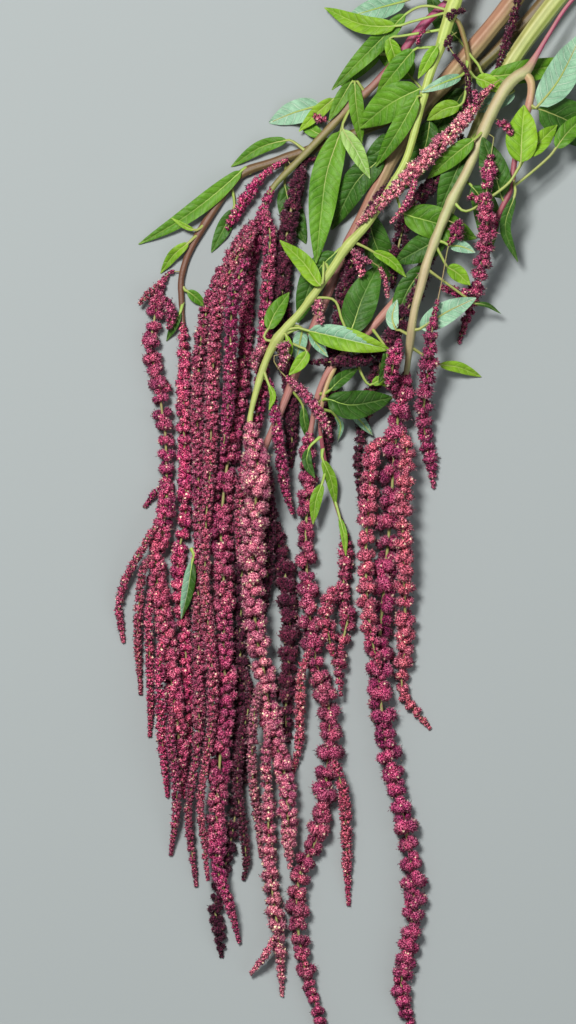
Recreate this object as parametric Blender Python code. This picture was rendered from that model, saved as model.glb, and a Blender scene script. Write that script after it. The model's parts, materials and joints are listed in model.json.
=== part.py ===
"""A cut bunch of hanging amaranth lying flat: leafy stems, and long crimson seed heads that trail from
them. Everything is laid out seen from straight above, then piled up: each strand or leaf settles on
the table or on what already lies under it."""

import math

import bpy
import numpy as np

# Driving sizes, in metres
STEP = 0.0008            # one step of the layout plan below
STRAND_GAP = 0.00045     # air left between one strand and the next one down
JOINT_GAP = 0.00035      # air left between a stem and the seed head it carries
STEM_RING = 0.040        # length between two rings of a stem
HEAD_RING = 0.0200       # length between two rings of knobs on a seed head
BEAD_PITCH = 0.0273      # length from one ball of flowers to the next
BEAD_WAIST = 0.52        # waist between two balls, as a share of the ball
KNOB_HIGH = 1.06         # flower knobs, as a share of the head's half width
KNOB_LOW = 0.80
THIN_HEAD = 0.0110       # a seed head narrower than this has four sides, not six
BLADE_EDGE = 0.0007      # thickness of a leaf at its edge
BLADE_RIB = 0.0011       # and along its middle rib
PETIOLE = 0.0024         # thickness of a leaf stalk
SMALL_LEAF = 0.041       # a blade shorter than this is built with fewer rings
LIMP = 0.12              # how far a seed head bridges the hollows under it, 0 to 1
STIFF = 1.0              # the same for a stem
HIGHEST = 0.16           # nothing is lifted higher than this
STEEPEST = 0.55          # greatest slope of a strand, as rise over run
CELL = 0.0015            # size of a cell of the height map
SPREAD = 0.0006          # margin round each strand in the height map

# The height map covers this much of the plan, in steps
MAP_LEFT, MAP_RIGHT, MAP_TOP, MAP_BOTTOM = 90, 740, -260, 1070

# The plan, bottom of the pile first. A point is (across, down, width) in steps.
# shoot: name, node of the stem, parent or None, stem, node of its end head, kind, head
# head:  name, node, parent, kind, route. It is fused to the parent if both have one node
# leaf:  node, parent, stalk, blade, width, fold, lean. Its points are (across, down)
PLAN = [
    # The dark stem at the bottom, which runs furthest left
    ("shoot", "dark", "leafy_stem_dark", None, [(668, -196, 15), (622, -122, 15), (584, -56, 15), (545,
     0, 14), (517, 30, 13), (478, 66, 12), (430, 98, 11), (380, 122, 10), (325, 143, 10), (275, 160,
     9), (238, 175, 9), (210, 214, 8), (190, 248, 7), (181, 276, 6), (181, 300, 6), (182, 318, 5)],
     "seed_head_inner", "beads", [(183, 335, 12), (184, 360, 15), (183, 411, 16), (184, 442, 18), (185,
     480, 18), (185, 518, 17), (182, 535, 17), (178, 557, 18), (180, 600, 18), (185, 650, 17), (188,
     700, 15), (186, 750, 13), (180, 795, 5)]),
    ("leaf", "leafy_stem_dark", "dark", [(402, 112), (402, 126)], [(400, 132), (384, 146), (364, 160)],
     32, 10, 0),
    ("leaf", "leafy_stem_dark", "dark", [(432, 97), (418, 82)], [(412, 76), (394, 54), (370, 36)], 38,
     8, 0),
    ("leaf", "leafy_stem_dark", "dark", [(480, 65), (466, 46)], [(460, 38), (442, 16), (428, -12)], 30,
     12, 0),
    ("leaf", "leafy_stem_dark", "dark", [(476, 68), (470, 82)], [(466, 88), (452, 108), (428, 136)],
     38, 8, 0),
    ("leaf", "leafy_stem_dark", "dark", [(330, 142), (326, 137)], [(322, 134), (311, 128), (299, 119)],
     18, 12, 0),
    ("leaf", "leafy_stem_dark", "dark", [(286, 157), (285, 176)], [(285, 184), (292, 212), (306, 242)],
     34, 8, 0),
    ("leaf", "leafy_stem_dark", "dark", [(250, 171), (246, 166)], [(242, 169), (212, 195), (178, 220),
     (138, 243)], 25, 14, 0),
    ("leaf", "leafy_stem_dark", "dark", [(232, 182), (234, 200)], [(233, 208), (222, 230), (211, 251)],
     21, 12, 0),
    ("leaf", "leafy_stem_dark", "dark", [(206, 220), (199, 228)], [(194, 229), (184, 225), (171, 217)],
     8, 20, 0),
    ("leaf", "leafy_stem_dark", "dark", [(200, 231), (192, 238)], [(188, 242), (173, 254), (160, 272)],
     16, 20, 0),
    ("leaf", "leafy_stem_dark", "dark", [(181, 286), (184, 289)], [(187, 290), (196, 297), (205, 306)],
     15, 14, 0),
    ("leaf", "leafy_stem_dark", "dark", [(181, 302), (181, 308)], [(180, 311), (174, 324), (166, 340)],
     12, 20, 0),
    ("head", "under", "seed_head_under", "dark", "soft", [(312, 147, 4), (305, 160, 8), (297, 186, 17),
     (289, 220, 20), (284, 260, 20), (282, 300, 18), (284, 345, 17), (290, 392, 17), (292, 430, 15),
     (291, 468, 4)]),
    ("head", "left", "seed_head_left", "dark", "beads", [(181, 270, 4), (166, 274, 7), (158, 290, 14),
     (154, 318, 19), (150, 350, 20), (158, 378, 20), (161, 407, 20), (165, 435, 20), (166, 472, 18),
     (167, 490, 14)]),
    ("head", "left_tip", "seed_head_left", "left", "soft", [(161, 282, 4), (152, 289, 9), (146, 296,
     9), (138, 304, 4)]),
    ("head", "left_blob", "seed_head_left", "left", "soft", [(158, 295, 4), (168, 303, 11), (171, 317,
     13), (168, 328, 5)]),
    ("head", "left_long", "seed_head_left", "left", "soft", [(166, 478, 8), (166, 503, 21), (161, 534,
     21), (155, 564, 22), (158, 590, 22), (166, 636, 22), (172, 682, 22), (176, 713, 21), (180, 759,
     18), (183, 800, 6)]),
    ("head", "left_short", "seed_head_left", "left_long", "soft", [(165, 486, 4), (155, 492, 8), (144,
     507, 4)]),
    ("head", "left_curl", "seed_head_left", "left_long", "soft", [(163, 518, 4), (150, 534, 9), (142,
     549, 9), (133, 564, 9), (123, 584, 9), (118, 609, 9), (120, 626, 8), (123, 644, 4)]),
    ("head", "left_a", "seed_head_left", "left_long", "soft", [(156, 552, 4), (144, 566, 9), (140, 590,
     10), (137, 637, 10), (140, 695, 4)]),
    ("head", "left_b", "seed_head_left", "left_long", "soft", [(157, 582, 4), (149, 604, 9), (149, 650,
     10), (150, 698, 9), (149, 739, 4)]),
    ("head", "left_c", "seed_head_left", "left_long", "soft", [(165, 630, 4), (160, 655, 11), (160,
     690, 12), (162, 740, 12), (167, 799, 4)]),
    ("head", "left_d", "seed_head_left", "left_long", "soft", [(174, 698, 4), (170, 735, 10), (175,
     775, 11), (176, 810, 10), (170, 858, 4)]),
    # The thickest stem, under the leaves, with the seed head deepest in the curtain
    ("shoot", "thick", "leafy_stem_thick", None, [(630, -214, 20), (598, -138, 20), (558, -66, 20),
     (513, 0, 19), (450, 76, 18), (423, 106, 17), (399, 144, 16), (376, 190, 13), (348, 245, 11), (325,
     300, 10), (305, 350, 9), (285, 400, 8), (268, 440, 7)], "seed_head_deep", "beads", [(256, 470,
     12), (247, 510, 16), (242, 560, 18), (240, 650, 18), (240, 740, 17), (237, 800, 16), (229, 850,
     14), (220, 885, 14), (215, 911, 15), (219, 935, 15), (221, 960, 5)]),
    ("head", "deep_side", "seed_head_deep", "thick", "soft", [(240, 660, 4), (250, 692, 10), (242, 740,
     11), (237, 783, 11), (243, 830, 10), (246, 862, 9), (243, 882, 4)]),
    ("head", "deep_chain", "seed_head_deep", "thick", "beads", [(262, 455, 5), (266, 484, 9), (269,
     512, 14), (278, 542, 19), (285, 575, 22), (289, 618, 23), (289, 661, 22), (286, 705, 20), (287,
     745, 7)]),
    ("head", "deep_b", "seed_head_deep", "thick", "soft", [(263, 452, 5), (268, 474, 12), (270, 520,
     14), (267, 580, 13), (264, 618, 4)]),
    ("leaf", "leafy_stem_thick", "thick", [(292, 388), (300, 400)], [(303, 406), (305, 424), (312,
     445)], 13, 14, 0),
    ("leaf", "leafy_stem_thick", "thick", [(424, 105), (430, 114)], [(430, 120), (424, 150), (403,
     188)], 36, 8, 0),
    ("leaf", "leafy_stem_thick", "thick", [(397, 148), (389, 152)], [(384, 156), (356, 182), (332,
     228)], 38, 8, 0),
    ("leaf", "leafy_stem_thick", "thick", [(372, 197), (369, 207)], [(368, 213), (376, 244), (396,
     284)], 40, 8, 0),
    ("leaf", "leafy_stem_thick", "thick", [(350, 241), (341, 248)], [(336, 252), (314, 276), (298,
     322)], 36, 8, 0),
    ("head", "shy", "seed_head_shy", "thick", "soft", [(384, 174, 4), (378, 196, 10), (362, 236, 16),
     (347, 280, 18), (338, 330, 18), (332, 380, 17), (328, 430, 14), (326, 472, 4)]),
    # The ribbed stem, which ends in the long chain of balls
    ("shoot", "ribbed", "leafy_stem_ribbed", None, [(694, -186, 20), (646, -108, 20), (602, -52, 20),
     (556, 0, 19), (508, 67, 17), (478, 130, 15), (448, 212, 13), (420, 271, 11), (374, 325, 9), (350,
     348, 7), (332, 366, 7), (321, 386, 6), (315, 408, 6), (311, 430, 6)], "seed_head_chain", "beads",
     [(308, 447, 17), (308, 485, 21), (306, 534, 22), (307, 575, 22), (310, 621, 24), (317, 667, 25),
     (327, 698, 26), (330, 727, 26), (329, 754, 26), (326, 782, 25), (321, 819, 24), (314, 846, 22),
     (301, 872, 24), (297, 900, 23), (298, 930, 22), (304, 965, 20), (313, 998, 17), (320, 1024, 13),
     (323, 1048, 5)]),
    ("head", "chain_side", "seed_head_chain", "ribbed", "soft", [(312, 640, 5), (302, 672, 10), (300,
     706, 12), (299, 745, 11), (292, 778, 4)]),
    ("head", "chain_tail", "seed_head_chain", "ribbed", "soft", [(329, 752, 5), (339, 776, 12), (345,
     808, 13), (347, 858, 12), (349, 908, 4)]),
    ("head", "nook", "seed_head_nook", "ribbed", "soft", [(474, 142, 4), (455, 160, 12), (430, 186,
     16), (408, 214, 17), (398, 250, 16), (392, 288, 5)]),
    ("leaf", "leafy_stem_ribbed", "ribbed", [(432, 248), (428, 260)], [(425, 266), (408, 290), (392,
     328)], 32, 8, 0),
    ("head", "shaded", "seed_head_shaded", "ribbed", "beads", [(436, 236, 4), (432, 258, 8), (418, 290,
     15), (402, 318, 18), (386, 348, 18), (374, 385, 16), (363, 425, 13), (358, 458, 11), (361, 490,
     10), (363, 521, 4)]),
    ("shoot", "wisp", "leafy_stem_ribbed", "ribbed", [(333, 366, 5), (327, 385, 5), (322, 404, 4),
     (320, 425, 4), (323, 450, 4), (329, 480, 4), (337, 508, 4)], "seed_head_loose", "beads", [(344,
     530, 8), (346, 552, 17), (346, 572, 17), (342, 596, 19), (348, 618, 20), (342, 645, 18), (339,
     668, 14), (341, 696, 4)]),
    ("head", "loose_side", "seed_head_loose", "wisp", "beads", [(342, 585, 5), (331, 594, 15), (326,
     612, 19), (328, 634, 18), (334, 656, 6)]),
    ("leaf", "leafy_stem_ribbed", "wisp", [(321, 436), (312, 444)], [(309, 448), (307, 462), (315,
     478)], 14, 14, 0),
    ("leaf", "leafy_stem_ribbed", "wisp", [(321, 410), (331, 411)], [(335, 415), (341, 425), (338,
     441)], 9, 18, 0),
    ("leaf", "leafy_stem_ribbed", "wisp", [(323, 448), (322, 455)], [(323, 460), (331, 479), (336,
     505)], 16, 16, 0),
    ("leaf", "leafy_stem_ribbed", "wisp", [(326, 466), (324, 477)], [(322, 484), (316, 500), (313,
     524)], 17, 16, 0),
    ("leaf", "leafy_stem_ribbed", "wisp", [(333, 496), (338, 510)], [(340, 518), (344, 534), (346,
     556)], 10, 16, 0),
    ("leaf", "leafy_stem_ribbed", "wisp", [(323, 398), (340, 406)], [(350, 411), (361, 421), (373,
     435)], 14, 14, 0),
    ("leaf", "leafy_stem_ribbed", "ribbed", [(480, 125), (474, 136)], [(471, 142), (456, 172), (438,
     214)], 38, 8, 0),
    ("leaf", "leafy_stem_ribbed", "ribbed", [(462, 176), (468, 183)], [(472, 187), (486, 210), (490,
     252)], 36, 8, 0),
    ("leaf", "leafy_stem_ribbed", "ribbed", [(318, 392), (324, 394)], [(330, 390), (341, 379), (358,
     368)], 18, 12, 0),
    ("leaf", "leafy_stem_ribbed", "ribbed", [(352, 346), (361, 372), (368, 384)], [(372, 384), (382,
     380), (394, 388)], 14, 12, 0),
    ("head", "cross", "seed_head_shaded", "shaded", "soft", [(385, 350, 4), (376, 356, 12), (360, 360,
     14), (342, 361, 13), (326, 362, 10), (308, 362, 4)]),
    ("leaf", "leafy_stem_ribbed", "ribbed", [(372, 327), (382, 342)], [(386, 350), (386, 366), (379,
     383)], 15, 12, 0),
    ("leaf", "leafy_stem_ribbed", "ribbed", [(446, 217), (447, 229)], [(445, 236), (421, 249), (395,
     263)], 38, 8, 0),
    ("leaf", "leafy_stem_ribbed", "ribbed", [(503, 79), (509, 86)], [(514, 91), (498, 99), (479, 112)],
     27, 8, 0),
    ("leaf", "leafy_stem_ribbed", "ribbed", [(316, 403), (322, 401)], [(328, 399), (352, 405), (393,
     397)], 40, 8, 0),
    # The red stem, with the long curtain of seed heads on the left
    ("shoot", "red", "leafy_stem_red", None, [(654, -218, 12), (610, -132, 12), (562, -88, 11), (508,
     -44, 10), (450, 0, 9), (420, 28, 9), (399, 56, 8), (372, 86, 8), (349, 106, 8), (327, 130, 8),
     (300, 158, 7), (286, 172, 7), (274, 185, 6)], "seed_head_long", "soft", [(267, 199, 12), (257,
     230, 16), (250, 262, 17), (247, 300, 17), (245, 350, 17), (238, 400, 20), (231, 440, 23), (224,
     488, 26), (221, 534, 27), (223, 560, 26), (224, 606, 24), (224, 652, 25), (225, 698, 25), (221,
     744, 24), (218, 790, 22), (216, 840, 20), (218, 872, 16), (229, 905, 12), (239, 944, 4)]),
    ("head", "long_d", "seed_head_long", "red", "soft", [(264, 206, 5), (270, 232, 14), (269, 258, 15),
     (267, 296, 16), (264, 345, 16), (260, 395, 16), (252, 440, 15), (240, 500, 13), (238, 560, 4)]),
    ("head", "long_a", "seed_head_long", "red", "soft", [(262, 214, 5), (248, 230, 13), (233, 252, 14),
     (216, 284, 15), (202, 330, 16), (197, 400, 16), (198, 470, 14), (199, 540, 14), (198, 606, 15),
     (199, 682, 15), (198, 743, 12), (191, 790, 10), (188, 816, 9), (191, 849, 9), (196, 889, 4)]),
    ("head", "long_b", "seed_head_long", "red", "soft", [(258, 226, 5), (243, 248, 14), (228, 276, 16),
     (217, 315, 16), (213, 365, 17), (211, 427, 17), (210, 470, 14), (206, 520, 13), (205, 580, 13),
     (208, 621, 14), (213, 682, 14), (211, 728, 12), (204, 772, 10), (200, 805, 9), (204, 845, 8),
     (208, 883, 4)]),
    ("head", "long_c", "seed_head_long", "red", "soft", [(252, 252, 5), (240, 276, 14), (232, 310, 15),
     (230, 365, 15), (228, 410, 14), (222, 455, 5)]),
    ("head", "left_spike", "seed_spike_left", "red", "soft", [(292, 166, 4), (266, 172, 8), (252, 188,
     13), (241, 205, 13), (232, 219, 11), (226, 229, 4)]),
    ("leaf", "leafy_stem_red", "red", [(306, 152), (294, 141)], [(287, 139), (260, 146), (231, 165)],
     19, 12, 0),
    ("leaf", "leafy_stem_red", "red", [(350, 105), (333, 101)], [(320, 104), (294, 111), (269, 121)],
     34, 8, 0),
    ("leaf", "leafy_stem_red", "red", [(345, 110), (339, 99)], [(334, 98), (317, 112), (299, 130)], 19,
     12, 0),
    ("head", "red_knot", "seed_cluster_red", "red", "soft", [(331, 125, 4), (323, 120, 8), (318, 117,
     9), (313, 114, 5)]),
    ("leaf", "leafy_stem_red", "red", [(400, 55), (386, 53)], [(380, 53), (363, 61), (341, 83)], 28,
     10, 0),
    ("leaf", "leafy_stem_red", "red", [(364, 93), (355, 82)], [(352, 81), (342, 97), (329, 120)], 19,
     14, 0),
    ("leaf", "leafy_stem_red", "red", [(366, 91), (357, 80)], [(355, 82), (357, 110), (362, 142)], 21,
     12, 0),
    ("leaf", "leafy_stem_red", "red", [(352, 103), (344, 120)], [(341, 130), (327, 172), (321, 215),
     (316, 263)], 42, 10, 0),
    ("leaf", "leafy_stem_red", "red", [(352, 104), (345, 119)], [(343, 129), (356, 150), (370, 178)],
     23, 12, 0),
    ("head", "top_spike", "seed_spike_top", "red", "beads", [(518, -52, 4), (521, -22, 7), (517, 4, 9),
     (510, 30, 10), (504, 48, 10), (497, 69, 4)]),
    # The pale green stem in front, with the heavy pink head
    ("shoot", "front", "leafy_stem_front", None, [(682, -222, 14), (634, -118, 14), (578, -94, 13),
     (520, -72, 12), (477, -42, 12), (456, 0, 12), (447, 25, 12), (440, 48, 10), (430, 74, 9), (423,
     99, 8), (414, 134, 8), (406, 160, 8), (394, 182, 8), (368, 223, 9), (347, 247, 9), (328, 275, 8),
     (303, 309, 8), (281, 334, 8), (267, 358, 7), (257, 388, 7), (250, 418, 6)], "seed_head_pink",
     "soft", [(251, 434, 18), (257, 456, 27), (257, 488, 30), (253, 534, 28), (253, 590, 26), (257,
     637, 25), (263, 667, 25), (267, 698, 24), (276, 744, 24), (286, 782, 23), (288, 827, 19), (290,
     870, 6)]),
    ("head", "pink_side", "seed_head_pink", "front", "soft", [(264, 675, 5), (255, 708, 10), (252, 745,
     11), (253, 783, 11), (258, 825, 9), (261, 860, 4)]),
    ("head", "pink_tail", "seed_head_pink", "front", "beads", [(270, 712, 6), (266, 752, 12), (268,
     816, 15), (270, 873, 18), (274, 904, 18), (279, 943, 17), (282, 998, 4)]),
    ("head", "pink_tip", "seed_head_pink", "pink_tail", "soft", [(277, 932, 5), (264, 958, 9), (250,
     976, 4)]),
    ("head", "front_spike", "seed_spike_front", "front", "soft", [(259, 378, 4), (272, 392, 8), (277,
     427, 13), (281, 460, 13), (285, 488, 12), (293, 515, 4)]),
    ("head", "lean_spike", "seed_spike_lean", "front", "soft", [(272, 347, 4), (273, 357, 4), (278,
     368, 4), (285, 376, 5), (292, 382, 8), (303, 392, 12), (315, 407, 13), (324, 421, 12), (331, 437,
     4)]),
    ("head", "low_knot", "seed_cluster_low", "front", "soft", [(270, 350, 4), (263, 347, 10), (257,
     354, 11), (254, 364, 9), (256, 372, 4)]),
    ("leaf", "leafy_stem_front", "front", [(330, 271), (324, 262)], [(321, 286), (303, 262), (280,
     240)], 25, 12, 0),
    ("leaf", "leafy_stem_front", "front", [(277, 340), (266, 340), (264, 335)], [(268, 329), (275,
     313), (289, 292)], 24, 8, 0),
    ("leaf", "leafy_stem_front", "front", [(312, 298), (334, 300), (342, 320)], [(350, 332), (362,
     299), (379, 264)], 46, 8, 0),
    ("leaf", "leafy_stem_front", "front", [(352, 242), (366, 248)], [(373, 252), (390, 260), (406,
     277)], 16, 16, 0),
    ("head", "front_knot", "seed_cluster_front", "front", "soft", [(347, 247, 4), (356, 258, 10), (361,
     268, 11), (362, 278, 5)]),
    ("leaf", "leafy_stem_front", "front", [(290, 325), (298, 326)], [(302, 329), (300, 342), (296,
     360)], 20, 8, 0),
    ("leaf", "leafy_stem_front", "front", [(281, 334), (298, 329)], [(309, 333), (317, 344), (328,
     357)], 14, 16, 0),
    ("leaf", "leafy_stem_front", "front", [(276, 340), (283, 332), (297, 328)], [(309, 331), (348,
     340), (390, 350)], 34, 10, 0),
    ("leaf", "leafy_stem_front", "front", [(276, 341), (290, 343), (300, 347)], [(307, 351), (300,
     363), (289, 375)], 18, 10, 0),
    ("leaf", "leafy_stem_front", "front", [(278, 338), (283, 333)], [(286, 335), (290, 349), (285,
     367)], 9, 18, 0),
    ("leaf", "leafy_stem_front", "front", [(263, 370), (267, 380)], [(269, 385), (273, 396), (269,
     410)], 9, 16, 0),
    ("leaf", "leafy_stem_front", "front", [(392, 186), (399, 204)], [(404, 214), (438, 224), (476,
     238)], 46, 8, 0),
    ("leaf", "leafy_stem_front", "front", [(452, 10), (425, 6)], [(406, 14), (386, 34), (360, 60),
     (332, 89)], 27, 12, 0),
    ("leaf", "leafy_stem_front", "front", [(455, 3), (425, -6)], [(405, 0), (380, 6), (347, 15)], 32,
     8, 0),
    ("leaf", "leafy_stem_front", "front", [(452, 12), (412, 22)], [(396, 26), (362, 24), (325, 6)], 26,
     14, 0),
    ("leaf", "leafy_stem_front", "front", [(446, 30), (402, 36)], [(390, 38), (394, 54), (399, 74)],
     22, 12, 0),
    ("leaf", "leafy_stem_front", "front", [(440, 48), (424, 48)], [(414, 50), (398, 68), (377, 93)],
     28, 10, 0),
    ("leaf", "leafy_stem_front", "front", [(424, 96), (422, 91)], [(419, 90), (390, 104), (360, 127)],
     48, 8, 0),
    ("leaf", "leafy_stem_front", "front", [(423, 99), (420, 96)], [(417, 98), (400, 128), (376, 166)],
     27, 10, 0),
    ("leaf", "leafy_stem_front", "front", [(444, 38), (440, 44)], [(437, 47), (429, 59), (418, 79)],
     17, 12, 0),
    ("shoot", "thread", "leafy_stem_front", "front", [(449, 17, 6), (458, 22, 5), (464, 38, 5), (468,
     55, 5), (469, 75, 5), (467, 92, 4)], "seed_cluster_thread", "soft", [(467, 97, 6), (466, 104, 8),
     (464, 112, 4)]),
    ("leaf", "leafy_stem_front", "thread", [(467, 50), (478, 64)], [(488, 76), (530, 70), (580, 57)],
     32, 10, 0),
    ("leaf", "leafy_stem_front", "thread", [(469, 70), (473, 75)], [(476, 78), (488, 82), (504, 92)],
     22, 10, 0),
    ("leaf", "leafy_stem_front", "thread", [(469, 80), (464, 100)], [(460, 105), (444, 109), (427,
     120)], 23, 8, 0),
    ("leaf", "leafy_stem_front", "thread", [(468, 60), (466, 70)], [(461, 76), (444, 83), (421, 93)],
     17, 14, 0),
    # The arched stem on top, with the heaviest beaded head on the right
    ("shoot", "arch", "leafy_stem_arch", None, [(722, -160, 9), (670, -96, 8), (618, -46, 8), (572, 0,
     7), (549, 34, 7), (536, 56, 8), (526, 71, 11), (515, 78, 12), (503, 92, 12), (487, 123, 11), (469,
     167, 10), (450, 204, 10), (436, 238, 9), (427, 262, 9), (421, 285, 9), (414, 312, 8), (410, 342,
     8), (407, 370, 7)], "seed_head_beaded", "beads", [(403, 388, 22), (398, 420, 29), (395, 450, 30),
     (393, 480, 31), (390, 525, 31), (386, 568, 32), (382, 615, 31), (379, 658, 29), (381, 701, 28),
     (388, 750, 26), (397, 790, 25), (407, 835, 24), (414, 881, 24), (414, 917, 23), (408, 951, 22),
     (402, 980, 20), (404, 1005, 17), (411, 1026, 12), (415, 1048, 5)]),
    ("head", "beaded_top", "seed_head_beaded", "arch", "soft", [(402, 400, 5), (391, 384, 13), (393,
     364, 18), (397, 350, 14), (399, 340, 5)]),
    ("head", "beaded_mid", "seed_head_beaded", "arch", "beads", [(397, 445, 5), (383, 440, 12), (372,
     456, 20), (369, 500, 22), (366, 545, 22), (367, 600, 21), (372, 640, 17), (380, 668, 5)]),
    ("head", "beaded_side", "seed_head_beaded", "arch", "beads", [(399, 425, 5), (407, 446, 15), (405,
     480, 20), (403, 520, 21), (404, 560, 21), (405, 598, 21), (406, 645, 21), (402, 678, 16), (406,
     700, 13), (418, 714, 11), (431, 730, 4)]),
    ("shoot", "leg", "leafy_stem_arch", "arch", [(523, 73, 9), (530, 80, 9), (531, 92, 8), (527, 112,
     7), (518, 140, 7), (514, 164, 6), (510, 190, 6), (501, 210, 6)], "seed_cluster_leg", "soft",
     [(497, 218, 7), (494, 228, 8), (493, 238, 4)]),
    ("leaf", "leafy_stem_arch", "leg", [(512, 178), (515, 190)], [(514, 197), (505, 228), (518, 261)],
     16, 16, 0),
    ("leaf", "leafy_stem_arch", "leg", [(505, 202), (503, 199)], [(501, 198), (494, 172), (482, 138)],
     40, 8, 0),
    ("leaf", "leafy_stem_arch", "arch", [(484, 130), (478, 137)], [(473, 141), (452, 157), (428, 178)],
     26, 10, 0),
    ("leaf", "leafy_stem_arch", "leg", [(527, 106), (535, 109)], [(539, 109), (572, 122), (610, 146)],
     58, 8, 0),
    ("leaf", "leafy_stem_arch", "leg", [(528, 104), (534, 107)], [(538, 106), (560, 78), (584, 30)],
     46, 14, 0),
    ("leaf", "leafy_stem_arch", "arch", [(452, 200), (466, 212), (490, 198), (508, 184), (519, 168)],
     [(526, 157), (539, 143), (557, 125)], 26, 14, 0),
    ("leaf", "leafy_stem_arch", "leg", [(510, 190), (526, 177), (548, 158)], [(556, 148), (568, 132),
     (588, 112)], 26, 10, 0),
    ("leaf", "leafy_stem_arch", "arch", [(452, 200), (466, 212), (490, 198), (508, 184), (516, 172)],
     [(520, 163), (521, 140), (524, 106)], 44, 6, 0),
    ("head", "right", "seed_head_right", "arch", "beads", [(484, 131, 4), (493, 141, 4), (491, 153, 5),
     (489, 166, 13), (488, 177, 22), (486, 190, 9), (485, 203, 17), (486, 224, 21), (485, 246, 19),
     (479, 275, 17), (475, 294, 16), (470, 310, 13), (460, 342, 4)]),
    ("head", "right_side", "seed_head_right", "right", "beads", [(476, 290, 5), (462, 293, 12), (452,
     290, 13), (440, 286, 5)]),
    ("head", "right_twin", "seed_head_right", "right", "beads", [(485, 205, 5), (473, 199, 10), (466,
     197, 4)]),
    ("leaf", "leafy_stem_arch", "arch", [(434, 243), (444, 262)], [(447, 267), (457, 273), (470, 285)],
     22, 10, 0),
    ("leaf", "leafy_stem_arch", "arch", [(436, 240), (444, 243)], [(449, 246), (461, 247), (475, 253)],
     17, 10, 0),
    ("leaf", "leafy_stem_arch", "arch", [(426, 268), (450, 286), (468, 299)], [(474, 303), (488, 305),
     (501, 313)], 7, 20, 0),
    ("leaf", "leafy_stem_arch", "arch", [(410, 345), (428, 358)], [(440, 364), (460, 367), (482, 376)],
     16, 16, 0),
    ("leaf", "leafy_stem_arch", "arch", [(412, 330), (417, 330)], [(420, 329), (447, 312), (476, 298)],
     32, 10, 0),
    ("leaf", "leafy_stem_arch", "arch", [(411, 336), (399, 330)], [(396, 330), (392, 317), (397, 300)],
     18, 12, 0),
    ("head", "knot", "seed_head_knot", "arch", "beads", [(444, 218, 4), (457, 226, 17), (456, 234, 17),
     (449, 244, 6), (446, 256, 5), (443, 274, 5), (438, 298, 5), (433, 320, 9), (431, 336, 17), (428,
     373, 19), (424, 408, 19), (427, 444, 17), (433, 470, 12), (434, 488, 4)]),
    ("head", "pink_spike", "seed_spike_pink", "arch", "soft", [(509, 87, 4), (494, 84, 5), (484, 94,
     8), (476, 104, 13), (464, 120, 16), (445, 140, 18), (425, 160, 18), (407, 178, 17), (390, 195,
     15), (372, 212, 11), (357, 225, 4)]),
    ("head", "pink_spike_side", "seed_spike_pink", "pink_spike", "soft", [(416, 169, 5), (413, 188, 8),
     (405, 206, 8), (391, 223, 4)]),
    ("head", "arch_knot", "seed_cluster_arch", "arch", "soft", [(490, 117, 4), (500, 124, 11), (507,
     129, 11), (511, 136, 5)]),
    ("leaf", "leaf_in_curtain", "long_a", [(198, 548), (194, 556)], [(192, 562), (188, 588), (181,
     619)], 18, 14, 0),
]


def plan_xy(across, down):
    """A plan point in metres, with the plan's middle at the origin."""
    return (across - 288) * STEP, (512 - down) * STEP


def smooth_route(points):
    """Many points of a Catmull-Rom curve through the given ones, with the length run at each."""
    given = np.array(points, float)
    padded = np.vstack([2 * given[0] - given[1], given, 2 * given[-1] - given[-2]])
    found = []
    for a, b, c, d in zip(padded, padded[1:], padded[2:], padded[3:]):
        for t in np.arange(0, 1, 0.1):
            found.append(0.5 * (2 * b + (c - a) * t + (2 * a - 5 * b + 4 * c - d) * t ** 2
                                + (3 * b - a - 3 * c + d) * t ** 3))
    found.append(given[-1])
    found = np.array(found)
    run = np.concatenate([[0], np.cumsum(np.hypot(*np.diff(found[:, :2], axis=0).T))])
    return found, run


def along(route, run, where):
    """The route's columns at the given lengths."""
    return np.stack([np.interp(where, run, column) for column in route.T], axis=1)


def even(start, end, step):
    """Lengths from start to end, near enough step apart."""
    return np.linspace(start, end, max(2, 1 + round((end - start) / step)))


def metres(points):
    """Plan points as (x, y, half width) in metres."""
    return [(*plan_xy(p[0], p[1]), 0.5 * STEP * p[2]) for p in points]


def stem_rings(half_width):
    """Offsets (side, up) of a stem's rings: eight flat sides, or six on a thin one."""
    sides = 8 if half_width.max() > 0.0055 else 6
    turn = np.pi / 8 if sides == 8 else 0.0
    angle = turn + 2 * np.pi * np.arange(sides) / sides
    return half_width[:, None, None] * np.stack([np.cos(angle), np.sin(angle)], axis=1)


def head_rings(half_width, kind):
    """Offsets of a seed head's rings, where every other corner stands out as a knob of flowers."""
    sides = 6 if 2 * half_width.max() > THIN_HEAD else 4
    angle = 2 * np.pi * np.arange(sides) / sides
    ring = np.arange(len(half_width))
    knob = np.where((ring[:, None] + np.arange(sides)) % 2 == 0, KNOB_HIGH, KNOB_LOW)
    reach = half_width[:, None] * knob
    if kind == "beads":
        waist = (ring % 3 == 0) & (half_width > 0.0035)
        reach = np.where(waist[:, None], half_width[:, None] * BEAD_WAIST, reach)
    reach[0] = half_width[0] * 0.9
    reach[-1] = half_width[-1] * 0.8
    return reach[:, :, None] * np.stack([np.cos(angle), np.sin(angle)], axis=1)


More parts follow.
